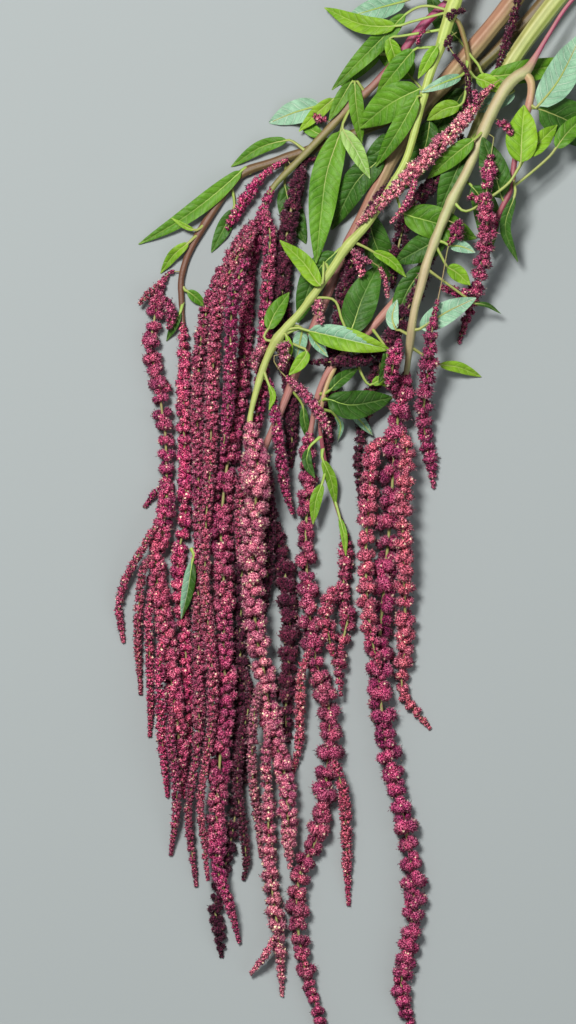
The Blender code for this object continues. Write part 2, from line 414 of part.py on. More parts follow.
def leaf_rings(shares, width, length, fold, lean, stalk_count):
    """Offsets of a leaf's rings: a thick stalk, then a folded and waved blade, alike on both faces."""
    rings = []
    for index, t in enumerate(shares):
        if index < stalk_count:
            half, edge, rib, rise, wave = PETIOLE / 2, 0.45 * PETIOLE, PETIOLE, 0.0, 0.0
        else:
            swell = (t + 0.02) ** 0.62 * (1.015 - t) ** 0.95 / 0.5065
            half = max(0.5 * width * swell, 0.0012)
            edge, rib = BLADE_EDGE, BLADE_RIB + 0.0009 * (1 - t) ** 4
            rise = half * math.sin(math.radians(fold))
            wave = 0.07 * half * math.sin(2.6 * math.pi * t + length * 400)
        reach = half * math.cos(math.radians(fold))
        left, right = rise + wave, rise - wave
        ring = [(-reach, left + edge / 2), (0, rib / 2), (reach, right + edge / 2),
                (reach, right - edge / 2), (0, -rib / 2), (-reach, left - edge / 2)]
        c, s = math.cos(math.radians(lean)), math.sin(math.radians(lean))
        rings.append([(c * a - s * b, s * a + c * b) for a, b in ring])
    return np.array(rings)


def skin(rings, sides, pattern):
    """Triangles of a closed skin over the rings, and the ring that each one starts at."""
    faces = []
    start = []
    for i in range(rings - 1):
        for j in range(sides):
            a, b = i * sides + j, i * sides + (j + 1) % sides
            c, d = b + sides, a + sides
            if pattern == "leaf":
                rising = j not in (3, 4)
            elif pattern == "head":
                rising = (i + j) % 2 == 1
            else:
                rising = True
            faces += [(a, b, c), (a, c, d)] if rising else [(a, b, d), (b, c, d)]
            start += [i, i]
    last = (rings - 1) * sides
    for j in range(1, sides - 1):
        faces += [(0, j + 1, j), (last, last + j, last + j + 1)]
        start += [0, rings - 2]
    return np.array(faces), np.array(start)


def share_grid(count):
    """Weights of the sample points spread over a triangle."""
    return np.array([(i, j, count - i - j) for i in range(count + 1) for j in range(count + 1 - i)]) / count


class Pile:
    """A height map of what already lies on the table, in full and with one named strand left out."""

    def __init__(self, names):
        self.x0, self.y0 = plan_xy(MAP_LEFT, MAP_BOTTOM)
        x1, y1 = plan_xy(MAP_RIGHT, MAP_TOP)
        self.across = int((x1 - self.x0) / CELL) + 1
        self.down = int((y1 - self.y0) / CELL) + 1
        self.full = np.zeros(self.across * self.down)
        self.without = {name: self.full.copy() for name in names}

    def cells(self, x, y):
        return ((x - self.x0) / CELL).astype(int) * self.down + ((y - self.y0) / CELL).astype(int)

    def add(self, name, samples):
        """Raises the map to the top of the samples, with a margin round each."""
        x, y, z = samples.T
        shifts = [(a, b) for a in (-SPREAD, 0, SPREAD) for b in (-SPREAD, 0, SPREAD)]
        cells = np.concatenate([self.cells(x + a, y + b) for a, b in shifts])
        tops = np.tile(z, len(shifts))
        order = np.argsort(tops)
        top_of = dict(zip(cells[order].tolist(), tops[order].tolist()))
        where = np.array(list(top_of))
        tops = np.array(list(top_of.values()))
        for other, heights in [("", self.full), *self.without.items()]:
            if other != name:
                heights[where] = np.maximum(heights[where], tops)


def floor_under(heights, cells):
    """Height that a sample must clear: the table itself, or a strand and the gap over it."""
    found = heights[cells]
    return np.where(found > 0, found + STRAND_GAP, 0.0)


class Strand:
    """A run of rings, in one piece or as a stem and its head, whose heights the pile decides."""

    def __init__(self, xy, pieces, patterns, nodes, limpness, first_turn=None):
        self.xy = xy
        self.offsets = pieces
        self.patterns = patterns
        self.nodes = nodes
        self.limpness = limpness
        self.first_turn = first_turn
        self.run = np.concatenate([[0], np.cumsum(np.hypot(*np.diff(xy, axis=0).T))])
        self.half = np.concatenate([np.abs(piece[:, :, 0]).max(axis=1) for piece in pieces])
        self.skins = [skin(len(p), p.shape[1], pattern) for p, pattern in zip(pieces, patterns)]
        self.z = np.concatenate([-piece[:, :, 1].min(axis=1) for piece in pieces])

    def directions(self):
        """Unit vectors along, beside and above each ring."""
        spine = np.column_stack([self.xy, self.z])
        ahead = np.empty_like(spine)
        ahead[1:-1] = spine[2:] - spine[:-2]
        ahead[0] = spine[1] - spine[0]
        ahead[-1] = spine[-1] - spine[-2]
        if len(self.offsets) == 2:
            joint = len(self.offsets[0])
            ahead[joint - 1:joint + 1] = spine[joint + 1] - spine[joint - 2]
        if self.first_turn is not None:
            ahead[0] = (*self.first_turn, 0)
        ahead /= np.linalg.norm(ahead, axis=1)[:, None]
        beside = np.column_stack([ahead[:, 1], -ahead[:, 0], np.zeros(len(ahead))])
        beside /= np.linalg.norm(beside, axis=1)[:, None]
        return spine, beside, np.cross(beside, ahead)

    def corners(self):
        """Corner points of each piece."""
        spine, beside, above = self.directions()
        first = 0
        found = []
        for piece in self.offsets:
            here = slice(first, first + len(piece))
            first += len(piece)
            found.append(spine[here, None] + piece[:, :, :1] * beside[here, None]
                         + piece[:, :, 1:] * above[here, None])
        return found

    def samples(self):
        """Points spread over the skin, and the ring that each one starts at."""
        points = []
        rings = []
        places = []
        first = 0
        for corners, (faces, start) in zip(self.corners(), self.skins):
            flat = corners.reshape(-1, 3)
            triangles = flat[faces]
            longest = np.linalg.norm(triangles - np.roll(triangles, 1, axis=1), axis=2).max()
            weights = share_grid(min(40, max(4, int(longest / 0.0011))))
            points.append((weights @ triangles).reshape(-1, 3))
            rings.append(first + np.repeat(start, len(weights)))
            places.append(first + ((faces // corners.shape[1]) @ weights.T).reshape(-1))
            first += len(corners)
        return np.concatenate(points), np.concatenate(rings), np.concatenate(places)

    def draped(self, needed, root):
        """Heights of a strand that bridges hollows as far as it is stiff, and never dips too steeply."""
        z = needed.copy()
        step = np.maximum(np.diff(self.run), 1e-5)
        for _ in range(40):
            if root is not None:
                z[0] = root
            middle = (z[:-2] * step[1:] + z[2:] * step[:-1]) / (step[1:] + step[:-1])
            z[1:-1] = np.maximum(needed[1:-1], z[1:-1] + self.limpness[1:-1] * (middle - z[1:-1]))
        for i in range(1, len(z)):
            if i > 1 or root is None:
                z[i] = max(z[i], z[i - 1] - STEEPEST * step[i - 1])
        for i in range(len(z) - 2, -1, -1):
            z[i] = max(z[i], z[i + 1] - STEEPEST * step[i])
        if root is not None:
            z[0] = root
        return np.minimum(z, HIGHEST)

    def settle(self, pile, parent_name, root, fused):
        """Finds the heights: over everything, but free of its own parent close to where it springs."""
        for turn in range(9):
            points, rings, places = self.samples()
            if root is not None:
                free_of_root = places > 0.6
                points, rings = points[free_of_root], rings[free_of_root]
            cells = pile.cells(points[:, 0], points[:, 1])
            lift = np.full(len(self.z), -1.0)
            rise = floor_under(pile.full, cells) - points[:, 2]
            np.maximum.at(lift, rings, rise)
            np.maximum.at(lift, rings + 1, rise)
            needed = self.z + lift
            if parent_name:
                free = np.full(len(self.z), -1.0)
                rise = floor_under(pile.without[parent_name], cells) - points[:, 2]
                np.maximum.at(free, rings, rise)
                np.maximum.at(free, rings + 1, rise)
                if fused:
                    allowed = np.minimum(needed, root + STEEPEST * self.run)
                    needed = np.maximum(self.z + free, allowed)
                else:
                    needed[:2] = self.z[:2] + free[:2]
            z = self.draped(needed, root)
            worst = float((needed - self.z)[1:].max())
            self.z = z if turn < 5 else np.maximum(z, self.z)
            if root is not None:
                self.z[0] = root
        return worst


def nearest(strand, x, y):
    """Centre, direction and half width of a strand where it passes closest to a plan point."""
    dense = np.linspace(0, strand.run[-1], 400)
    px, py, pz, half = (np.interp(dense, strand.run, column)
                        for column in (*strand.xy.T, strand.z, strand.half))
    k = int(np.argmin((px - x) ** 2 + (py - y) ** 2))
    k = min(max(k, 1), len(dense) - 2)
    turn = np.array([px[k + 1] - px[k - 1], py[k + 1] - py[k - 1]])
    return np.array([px[k], py[k]]), pz[k], turn / np.linalg.norm(turn), half[k]


def shoot(row, strands):
    """A stem and the seed head on its end, as one smooth run cut in two by the joint gap."""
    _, name, stem_node, parent, stem, head_node, kind, head = row
    stem_points = metres(stem)
    root = None
    if parent:
        centre, root, _, _ = nearest(strands[parent], *stem_points[0][:2])
        stem_points[0] = (*centre, stem_points[0][2])
    route, run = smooth_route(stem_points + metres(head))
    joint = run[10 * (len(stem_points) - 1)]
    step = STEM_RING if not parent else 0.6 * STEM_RING
    stem_at = even(0, joint, step)
    head_step = BEAD_PITCH / 3 if kind == "beads" else HEAD_RING
    head_at = even(joint + JOINT_GAP, run[-1], head_step)
    stem_rows = along(route, run, stem_at)
    head_rows = along(route, run, head_at)
    rows = np.vstack([stem_rows, head_rows])
    limp = np.concatenate([np.full(len(stem_at), STIFF), np.full(len(head_at), LIMP)])
    pieces = [stem_rings(stem_rows[:, 2]), head_rings(head_rows[:, 2], kind)]
    strand = Strand(rows[:, :2], pieces, ["stem", "head"], [stem_node, head_node], limp)
    return name, strand, parent, root, True


def head(row, strands):
    """A seed head that springs from the side of another strand."""
    _, name, node, parent, kind, route_plan = row
    points = metres(route_plan)
    centre, root, turn, half = nearest(strands[parent], *points[0][:2])
    fused = node in strands[parent].nodes
    first_turn = None
    if fused:
        points[0] = (*centre, points[0][2])
    else:
        out = np.array([-turn[1], turn[0]])
        toward = np.array(points[1][:2]) - centre
        out *= 1 if out @ toward > 0 else -1
        start = centre + out * (half + JOINT_GAP)
        away = centre + out * (half + JOINT_GAP + 0.0026 + 0.6 * points[1][2])
        points[0] = (*start, points[0][2])
        points.insert(1, (*away, 0.6 * points[0][2] + 0.4 * min(points[1][2], 0.004)))
        first_turn = out
    route, run = smooth_route(points)
    step = BEAD_PITCH / 3 if kind == "beads" else HEAD_RING
    if 2 * max(p[2] for p in points) < THIN_HEAD + 0.001:
        step *= 0.85
    at = even(0, run[-1], step)
    if not fused:
        at = np.concatenate([[0], even(run[10], run[-1], step)])
    rows = along(route, run, at)
    strand = Strand(rows[:, :2], [head_rings(rows[:, 2], kind)], ["head"], [node],
                    np.full(len(rows), LIMP), first_turn)
    return name, strand, parent, root, fused


def leaf(row, strands):
    """A leaf on its stalk, which springs from a stem."""
    _, node, parent, stalk, blade, width, fold, lean = row
    points = [(*p, 0.0) for p in stalk + blade]
    points = metres(points)
    centre, root, turn, half = nearest(strands[parent], *points[0][:2])
    fused = node in strands[parent].nodes
    first_turn = None
    if fused:
        points[0] = (*centre, 0.0)
    else:
        out = np.array([-turn[1], turn[0]])
        out *= 1 if out @ (np.array(points[1][:2]) - centre) > 0 else -1
        points[0] = (*(centre + out * (half + JOINT_GAP)), 0.0)
        first_turn = out
    route, run = smooth_route(points)
    neck = run[10 * len(stalk)]
    length = run[-1] - neck
    stalk_at = even(0, neck, 0.028)[:-1]
    if length < SMALL_LEAF:
        shares = np.array([0.0, 0.20, 0.58, 1.0])
    else:
        shares = np.array([0.0, 0.13, 0.38, 0.70, 1.0])
    at = np.concatenate([stalk_at, neck + shares * length])
    all_shares = np.concatenate([np.zeros(len(stalk_at)), shares])
    rows = along(route, run, at)
    rings = leaf_rings(all_shares, width * STEP, length, fold, lean, len(stalk_at))
    strand = Strand(rows[:, :2], [rings], ["leaf"], [node], np.full(len(rows), 0.5), first_turn)
    return None, strand, parent, root, fused


def pile_up():
    """Every strand of the plan, settled in turn."""
    parents = {row[2] if row[0] == "leaf" else row[3] for row in PLAN} - {None}
    pile = Pile(parents)
    makers = {"shoot": shoot, "head": head, "leaf": leaf}
    strands = {}
    settled = []
    for row in PLAN:
        name, strand, parent, root, fused = makers[row[0]](row, strands)
        worst = strand.settle(pile, parent, root, fused)
        if worst > 0.0003:
            print("still", round(1000 * worst, 2), "mm low:", row[0], name or row[2:4])
        pile.add(name, strand.samples()[0])
        if name:
            strands[name] = strand
        settled.append(strand)
    return settled


def material(name, colour, roughness):
    found = bpy.data.materials.new(name)
    found.use_nodes = True
    shader = found.node_tree.nodes["Principled BSDF"]
    shader.inputs["Base Color"].default_value = (*colour, 1)
    shader.inputs["Roughness"].default_value = roughness
    return found


def solid(name, corners, faces):
    """One closed body as an object, facing out."""
    flat = corners.reshape(-1, 3)
    a, b, c = (flat[faces[:, k]] for k in range(3))
    if np.einsum("ij,ij->i", a, np.cross(b, c)).sum() < 0:
        faces = faces[:, ::-1]
    mesh = bpy.data.meshes.new(name)
    mesh.from_pydata(flat.tolist(), [], faces.tolist())
    mesh.update()
    return bpy.data.objects.new(name, mesh)


def fuse(name, bodies):
    """One object made of all the bodies of a node."""
    first = bodies[0]
    bpy.context.scene.collection.objects.link(first)
    if len(bodies) > 1:
        others = bpy.data.collections.new(name + "_parts")
        bpy.context.scene.collection.children.link(others)
        for body in bodies[1:]:
            others.objects.link(body)
        union = first.modifiers.new("union", "BOOLEAN")
        union.operation = "UNION"
        union.operand_type = "COLLECTION"
        union.collection = others
        union.solver = "MANIFOLD"
        bpy.context.view_layer.objects.active = first
        bpy.ops.object.modifier_apply(modifier=union.name)
        for body in bodies[1:]:
            bpy.data.objects.remove(body)
        bpy.data.collections.remove(others)
    first.name = name
    first.data.name = name
    return first


def build():
    for old in list(bpy.data.objects):
        bpy.data.objects.remove(old)
    settled = pile_up()
    everything = np.concatenate([c.reshape(-1, 3) for strand in settled for c in strand.corners()])
    low = everything.min(axis=0)
    high = everything.max(axis=0)
    shift = np.array([-(low[0] + high[0]) / 2, -(low[1] + high[1]) / 2, 0])
    bodies = {}
    for strand in settled:
        for node, corners, (faces, _) in zip(strand.nodes, strand.corners(), strand.skins):
            bodies.setdefault(node, []).append(solid(node, corners + shift, faces))
    green = {"leafy_stem_dark": (0.10, 0.16, 0.05), "leafy_stem_thick": (0.33, 0.26, 0.17),
             "leafy_stem_ribbed": (0.30, 0.36, 0.13), "leafy_stem_red": (0.22, 0.30, 0.08),
             "leafy_stem_front": (0.21, 0.38, 0.08), "leafy_stem_arch": (0.28, 0.38, 0.12),
             "leaf_in_curtain": (0.10, 0.26, 0.05)}
    crimson = {"seed_head_pink": (0.42, 0.10, 0.16), "seed_spike_pink": (0.42, 0.10, 0.16),
               "seed_spike_lean": (0.42, 0.10, 0.16), "seed_cluster_front": (0.42, 0.10, 0.16),
               "seed_cluster_low": (0.42, 0.10, 0.16),
               "seed_head_deep": (0.13, 0.015, 0.04), "seed_head_shaded": (0.13, 0.015, 0.04),
               "seed_head_under": (0.13, 0.015, 0.04), "seed_head_shy": (0.13, 0.015, 0.04),
               "seed_head_nook": (0.13, 0.015, 0.04),
               "seed_spike_top": (0.10, 0.01, 0.03)}
    for node, parts in bodies.items():
        made = fuse(node, parts)
        colour = green.get(node) or crimson.get(node, (0.30, 0.04, 0.10))
        made.data.materials.clear()
        made.data.materials.append(material(node, colour, 0.55 if node in green else 0.8))
        made.data.update()
    print("size", np.round(1000 * (high - low), 1), "mm, middle moved by", np.round(shift, 4), "m")


build()
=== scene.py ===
# %% [markdown]
# # A cut bunch of hanging amaranth
# The model is a bunch of leafy stems with long crimson seed heads, lying on a pale floor and seen from
# straight above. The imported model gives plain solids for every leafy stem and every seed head. This
# lesson puts finer ones in their places: ribbed stems, veined leaves, and thousands of tiny flowers.

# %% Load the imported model
import json
import math

import bpy
import numpy as np
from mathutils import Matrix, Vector

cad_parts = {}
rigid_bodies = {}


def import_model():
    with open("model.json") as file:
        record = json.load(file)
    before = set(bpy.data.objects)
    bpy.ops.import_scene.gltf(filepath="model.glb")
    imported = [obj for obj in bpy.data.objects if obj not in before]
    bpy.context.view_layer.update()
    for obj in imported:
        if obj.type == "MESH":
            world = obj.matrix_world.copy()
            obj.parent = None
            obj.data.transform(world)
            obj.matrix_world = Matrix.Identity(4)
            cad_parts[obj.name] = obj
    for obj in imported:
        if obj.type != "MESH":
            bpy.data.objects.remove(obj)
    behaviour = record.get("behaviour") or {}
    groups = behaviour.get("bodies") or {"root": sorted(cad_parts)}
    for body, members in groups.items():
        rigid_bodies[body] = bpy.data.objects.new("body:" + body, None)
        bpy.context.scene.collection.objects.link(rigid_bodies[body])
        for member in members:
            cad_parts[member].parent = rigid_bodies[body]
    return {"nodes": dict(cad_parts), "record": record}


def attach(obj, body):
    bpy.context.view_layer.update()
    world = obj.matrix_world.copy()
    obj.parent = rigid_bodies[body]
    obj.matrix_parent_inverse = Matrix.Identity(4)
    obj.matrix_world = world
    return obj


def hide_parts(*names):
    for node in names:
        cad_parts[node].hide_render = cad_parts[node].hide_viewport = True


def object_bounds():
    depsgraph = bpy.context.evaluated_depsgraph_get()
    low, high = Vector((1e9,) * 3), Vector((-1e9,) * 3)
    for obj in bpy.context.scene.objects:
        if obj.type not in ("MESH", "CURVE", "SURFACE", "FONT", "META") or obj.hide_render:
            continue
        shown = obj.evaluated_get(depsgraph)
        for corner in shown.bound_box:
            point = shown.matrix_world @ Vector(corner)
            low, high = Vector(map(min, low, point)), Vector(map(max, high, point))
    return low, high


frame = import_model()
cad_box = [list(corner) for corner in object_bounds()]
slot_of = {row["node"]: row["material_slot"] for row in frame["record"]["subparts"]}
print("solids to dress:", len(frame["nodes"]))

# %% [markdown]
# ## The plan of the bunch
# On the real plant each stem and seed head is one long curve, so it is easiest to draw it as one. The
# plan holds those curves, seen from above, from the bottom of the pile to the top. Tracing curves is
# quicker than shaping each strand by hand, and every later step can follow the same curve.

# %% How a strand is drawn
STEP = 0.0008                    # one step of the plan, in metres
PLAN_ACROSS, PLAN_DOWN = 576, 1024   # the part of the plan that the camera shows, in steps
PLAN = []                        # every strand, from the bottom of the pile to the top
nodes_of = {}                    # for each strand, the nodes of its stem and of its seed head


def shoot(name, parent, stem, head_node, kind, head_route):
    """A stem with a seed head on its end. A point is (across, down, width), in steps."""
    stem_node = nodes_of[parent][0] if parent else "leafy_stem_" + name
    nodes_of[name] = (stem_node, head_node)
    PLAN.append(("shoot", name, stem_node, parent, stem, head_node, kind, head_route))
    print("stem", name, "ends in", head_node)


def head(name, parent, kind, route, node=None):
    """A side head. Without a node of its own it is part of the seed head that it springs from."""
    nodes_of[name] = (None, node or nodes_of[parent][1])
    PLAN.append(("head", name, nodes_of[name][1], parent, kind, route))


def leaves(parent, *rows, node=None):
    """Leaves of a stem: points of the stalk and of the blade, width in steps, fold in degrees, tone."""
    for row in rows:
        PLAN.append(("leaf", node or nodes_of[parent][0], parent, *row))


# %% The dark stem at the bottom, which runs furthest left
shoot("dark", None, [(668, -196, 15), (622, -122, 15), (584, -56, 15), (545, 0, 14), (517, 30, 13),
      (478, 66, 12), (430, 98, 11), (380, 122, 10), (325, 143, 10), (275, 160, 9), (238, 175, 9),
      (210, 214, 8), (190, 248, 7), (181, 276, 6), (181, 300, 6), (182, 318, 5)], "seed_head_inner",
      "beads", [(183, 335, 12), (184, 360, 15), (183, 411, 16), (184, 442, 18), (185, 480, 18),
      (185, 518, 17), (182, 535, 17), (178, 557, 18), (180, 600, 18), (185, 650, 17), (188, 700, 15),
      (186, 750, 13), (180, 795, 5)])
leaves("dark",
    ([(402, 112), (402, 126)], [(400, 132), (384, 146), (364, 160)], 32, 10, "dark"),
    ([(432, 97), (418, 82)], [(412, 76), (394, 54), (370, 36)], 38, 8, "mid"),
    ([(480, 65), (466, 46)], [(460, 38), (442, 16), (428, -12)], 30, 12, "dark"),
    ([(476, 68), (470, 82)], [(466, 88), (452, 108), (428, 136)], 38, 8, "dark"),
    ([(330, 142), (326, 137)], [(322, 134), (311, 128), (299, 119)], 18, 12, "mid"),
    ([(286, 157), (285, 176)], [(285, 184), (292, 212), (306, 242)], 34, 8, "dark"),
    ([(250, 171), (246, 166)], [(242, 169), (212, 195), (178, 220), (138, 243)], 25, 14, "mid"),
    ([(232, 182), (234, 200)], [(233, 208), (222, 230), (211, 251)], 21, 12, "dark"),
    ([(206, 220), (199, 228)], [(194, 229), (184, 225), (171, 217)], 8, 20, "bright"),
    ([(200, 231), (192, 238)], [(188, 242), (173, 254), (160, 272)], 16, 20, "bright"),
    ([(181, 286), (184, 289)], [(187, 290), (196, 297), (205, 306)], 15, 14, "mid"),
    ([(181, 302), (181, 308)], [(180, 311), (174, 324), (166, 340)], 12, 20, "dark"),
)
head("under", "dark", "soft", [(312, 147, 4), (305, 160, 8), (297, 186, 17), (289, 220, 20),
     (284, 260, 20), (282, 300, 18), (284, 345, 17), (290, 392, 17), (292, 430, 15), (291, 468, 4)],
     "seed_head_under")
head("left", "dark", "beads", [(181, 270, 4), (166, 274, 7), (158, 290, 14), (154, 318, 19),
     (150, 350, 20), (158, 378, 20), (161, 407, 20), (165, 435, 20), (166, 472, 18), (167, 490, 14)],
     "seed_head_left")
head("left_tip", "left", "soft", [(161, 282, 4), (152, 289, 9), (146, 296, 9), (138, 304, 4)])
head("left_blob", "left", "soft", [(158, 295, 4), (168, 303, 11), (171, 317, 13), (168, 328, 5)])
head("left_long", "left", "soft", [(166, 478, 8), (166, 503, 21), (161, 534, 21), (155, 564, 22),
     (158, 590, 22), (166, 636, 22), (172, 682, 22), (176, 713, 21), (180, 759, 18), (183, 800, 6)])
head("left_short", "left_long", "soft", [(165, 486, 4), (155, 492, 8), (144, 507, 4)])
head("left_curl", "left_long", "soft", [(163, 518, 4), (150, 534, 9), (142, 549, 9), (133, 564, 9),
     (123, 584, 9), (118, 609, 9), (120, 626, 8), (123, 644, 4)])
head("left_a", "left_long", "soft", [(156, 552, 4), (144, 566, 9), (140, 590, 10), (137, 637, 10),
     (140, 695, 4)])
head("left_b", "left_long", "soft", [(157, 582, 4), (149, 604, 9), (149, 650, 10), (150, 698, 9),
     (149, 739, 4)])
head("left_c", "left_long", "soft", [(165, 630, 4), (160, 655, 11), (160, 690, 12), (162, 740, 12),
     (167, 799, 4)])
head("left_d", "left_long", "soft", [(174, 698, 4), (170, 735, 10), (175, 775, 11), (176, 810, 10),
     (170, 858, 4)])

# %% The thickest stem, under the leaves, with the seed head deepest in the curtain
shoot("thick", None, [(630, -214, 20), (598, -138, 20), (558, -66, 20), (513, 0, 19), (450, 76, 18),
      (423, 106, 17), (399, 144, 16), (376, 190, 13), (348, 245, 11), (325, 300, 10), (305, 350, 9),
      (285, 400, 8), (268, 440, 7)], "seed_head_deep", "beads", [(256, 470, 12), (247, 510, 16),
      (242, 560, 18), (240, 650, 18), (240, 740, 17), (237, 800, 16), (229, 850, 14), (220, 885, 14),
      (215, 911, 15), (219, 935, 15), (221, 960, 5)])
head("deep_side", "thick", "soft", [(240, 660, 4), (250, 692, 10), (242, 740, 11), (237, 783, 11),
     (243, 830, 10), (246, 862, 9), (243, 882, 4)])
head("deep_chain", "thick", "beads", [(262, 455, 5), (266, 484, 9), (269, 512, 14), (278, 542, 19),
     (285, 575, 22), (289, 618, 23), (289, 661, 22), (286, 705, 20), (287, 745, 7)])
head("deep_b", "thick", "soft", [(263, 452, 5), (268, 474, 12), (270, 520, 14), (267, 580, 13),
     (264, 618, 4)])
leaves("thick",
    ([(292, 388), (300, 400)], [(303, 406), (305, 424), (312, 445)], 13, 14, "dark"),
    ([(424, 105), (430, 114)], [(430, 120), (424, 150), (403, 188)], 36, 8, "dark"),
    ([(397, 148), (389, 152)], [(384, 156), (356, 182), (332, 228)], 38, 8, "dark"),
    ([(372, 197), (369, 207)], [(368, 213), (376, 244), (396, 284)], 40, 8, "dark"),
    ([(350, 241), (341, 248)], [(336, 252), (314, 276), (298, 322)], 36, 8, "dark"),
)
head("shy", "thick", "soft", [(384, 174, 4), (378, 196, 10), (362, 236, 16), (347, 280, 18),
     (338, 330, 18), (332, 380, 17), (328, 430, 14), (326, 472, 4)], "seed_head_shy")

# %% The ribbed stem, which ends in the long chain of balls
shoot("ribbed", None, [(694, -186, 20), (646, -108, 20), (602, -52, 20), (556, 0, 19), (508, 67, 17),
      (478, 130, 15), (448, 212, 13), (420, 271, 11), (374, 325, 9), (350, 348, 7), (332, 366, 7),
      (321, 386, 6), (315, 408, 6), (311, 430, 6)], "seed_head_chain", "beads", [(308, 447, 17),
      (308, 485, 21), (306, 534, 22), (307, 575, 22), (310, 621, 24), (317, 667, 25), (327, 698, 26),
      (330, 727, 26), (329, 754, 26), (326, 782, 25), (321, 819, 24), (314, 846, 22), (301, 872, 24),
      (297, 900, 23), (298, 930, 22), (304, 965, 20), (313, 998, 17), (320, 1024, 13), (323, 1048, 5)])
head("chain_side", "ribbed", "soft", [(312, 640, 5), (302, 672, 10), (300, 706, 12), (299, 745, 11),
     (292, 778, 4)])
head("chain_tail", "ribbed", "soft", [(329, 752, 5), (339, 776, 12), (345, 808, 13), (347, 858, 12),
     (349, 908, 4)])
head("nook", "ribbed", "soft", [(474, 142, 4), (455, 160, 12), (430, 186, 16), (408, 214, 17),
     (398, 250, 16), (392, 288, 5)], "seed_head_nook")
leaves("ribbed",
    ([(432, 248), (428, 260)], [(425, 266), (408, 290), (392, 328)], 32, 8, "dark"),
)
head("shaded", "ribbed", "beads", [(436, 236, 4), (432, 258, 8), (418, 290, 15), (402, 318, 18),
     (386, 348, 18), (374, 385, 16), (363, 425, 13), (358, 458, 11), (361, 490, 10), (363, 521, 4)],
     "seed_head_shaded")
shoot("wisp", "ribbed", [(333, 366, 5), (327, 385, 5), (322, 404, 4), (320, 425, 4), (323, 450, 4),
      (329, 480, 4), (337, 508, 4)], "seed_head_loose", "beads", [(344, 530, 8), (346, 552, 17),
      (346, 572, 17), (342, 596, 19), (348, 618, 20), (342, 645, 18), (339, 668, 14), (341, 696, 4)])
head("loose_side", "wisp", "beads", [(342, 585, 5), (331, 594, 15), (326, 612, 19), (328, 634, 18),
     (334, 656, 6)])
leaves("wisp",
    ([(321, 436), (312, 444)], [(309, 448), (307, 462), (315, 478)], 14, 14, "dark"),
    ([(321, 410), (331, 411)], [(335, 415), (341, 425), (338, 441)], 9, 18, "mint"),
    ([(323, 448), (322, 455)], [(323, 460), (331, 479), (336, 505)], 16, 16, "bright"),
    ([(326, 466), (324, 477)], [(322, 484), (316, 500), (313, 524)], 17, 16, "bright"),
    ([(333, 496), (338, 510)], [(340, 518), (344, 534), (346, 556)], 10, 16, "bright"),
    ([(323, 398), (340, 406)], [(350, 411), (361, 421), (373, 435)], 14, 14, "mint"),
)
leaves("ribbed",
    ([(480, 125), (474, 136)], [(471, 142), (456, 172), (438, 214)], 38, 8, "dark"),
    ([(462, 176), (468, 183)], [(472, 187), (486, 210), (490, 252)], 36, 8, "dark"),
    ([(318, 392), (324, 394)], [(330, 390), (341, 379), (358, 368)], 18, 12, "dark"),
    ([(352, 346), (361, 372), (368, 384)], [(372, 384), (382, 380), (394, 388)], 14, 12, "bright"),
)
head("cross", "shaded", "soft", [(385, 350, 4), (376, 356, 12), (360, 360, 14), (342, 361, 13),
     (326, 362, 10), (308, 362, 4)])
leaves("ribbed",
    ([(372, 327), (382, 342)], [(386, 350), (386, 366), (379, 383)], 15, 12, "dark"),
    ([(446, 217), (447, 229)], [(445, 236), (421, 249), (395, 263)], 38, 8, "dark"),
    ([(503, 79), (509, 86)], [(514, 91), (498, 99), (479, 112)], 27, 8, "mint"),
    ([(316, 403), (322, 401)], [(328, 399), (352, 405), (393, 397)], 40, 8, "dark"),
)

# %% The red stem, with the long curtain of seed heads on the left
shoot("red", None, [(654, -218, 12), (610, -132, 12), (562, -88, 11), (508, -44, 10), (450, 0, 9),
      (420, 28, 9), (399, 56, 8), (372, 86, 8), (349, 106, 8), (327, 130, 8), (300, 158, 7),
      (286, 172, 7), (274, 185, 6)], "seed_head_long", "soft", [(267, 199, 12), (257, 230, 16),
      (250, 262, 17), (247, 300, 17), (245, 350, 17), (238, 400, 20), (231, 440, 23), (224, 488, 26),
      (221, 534, 27), (223, 560, 26), (224, 606, 24), (224, 652, 25), (225, 698, 25), (221, 744, 24),
      (218, 790, 22), (216, 840, 20), (218, 872, 16), (229, 905, 12), (239, 944, 4)])
head("long_d", "red", "soft", [(264, 206, 5), (270, 232, 14), (269, 258, 15), (267, 296, 16),
     (264, 345, 16), (260, 395, 16), (252, 440, 15), (240, 500, 13), (238, 560, 4)])
head("long_a", "red", "soft", [(262, 214, 5), (248, 230, 13), (233, 252, 14), (216, 284, 15),
     (202, 330, 16), (197, 400, 16), (198, 470, 14), (199, 540, 14), (198, 606, 15), (199, 682, 15),
     (198, 743, 12), (191, 790, 10), (188, 816, 9), (191, 849, 9), (196, 889, 4)])
head("long_b", "red", "soft", [(258, 226, 5), (243, 248, 14), (228, 276, 16), (217, 315, 16),
     (213, 365, 17), (211, 427, 17), (210, 470, 14), (206, 520, 13), (205, 580, 13), (208, 621, 14),
     (213, 682, 14), (211, 728, 12), (204, 772, 10), (200, 805, 9), (204, 845, 8), (208, 883, 4)])
head("long_c", "red", "soft", [(252, 252, 5), (240, 276, 14), (232, 310, 15), (230, 365, 15),
     (228, 410, 14), (222, 455, 5)])
head("left_spike", "red", "soft", [(292, 166, 4), (266, 172, 8), (252, 188, 13), (241, 205, 13),
     (232, 219, 11), (226, 229, 4)], "seed_spike_left")
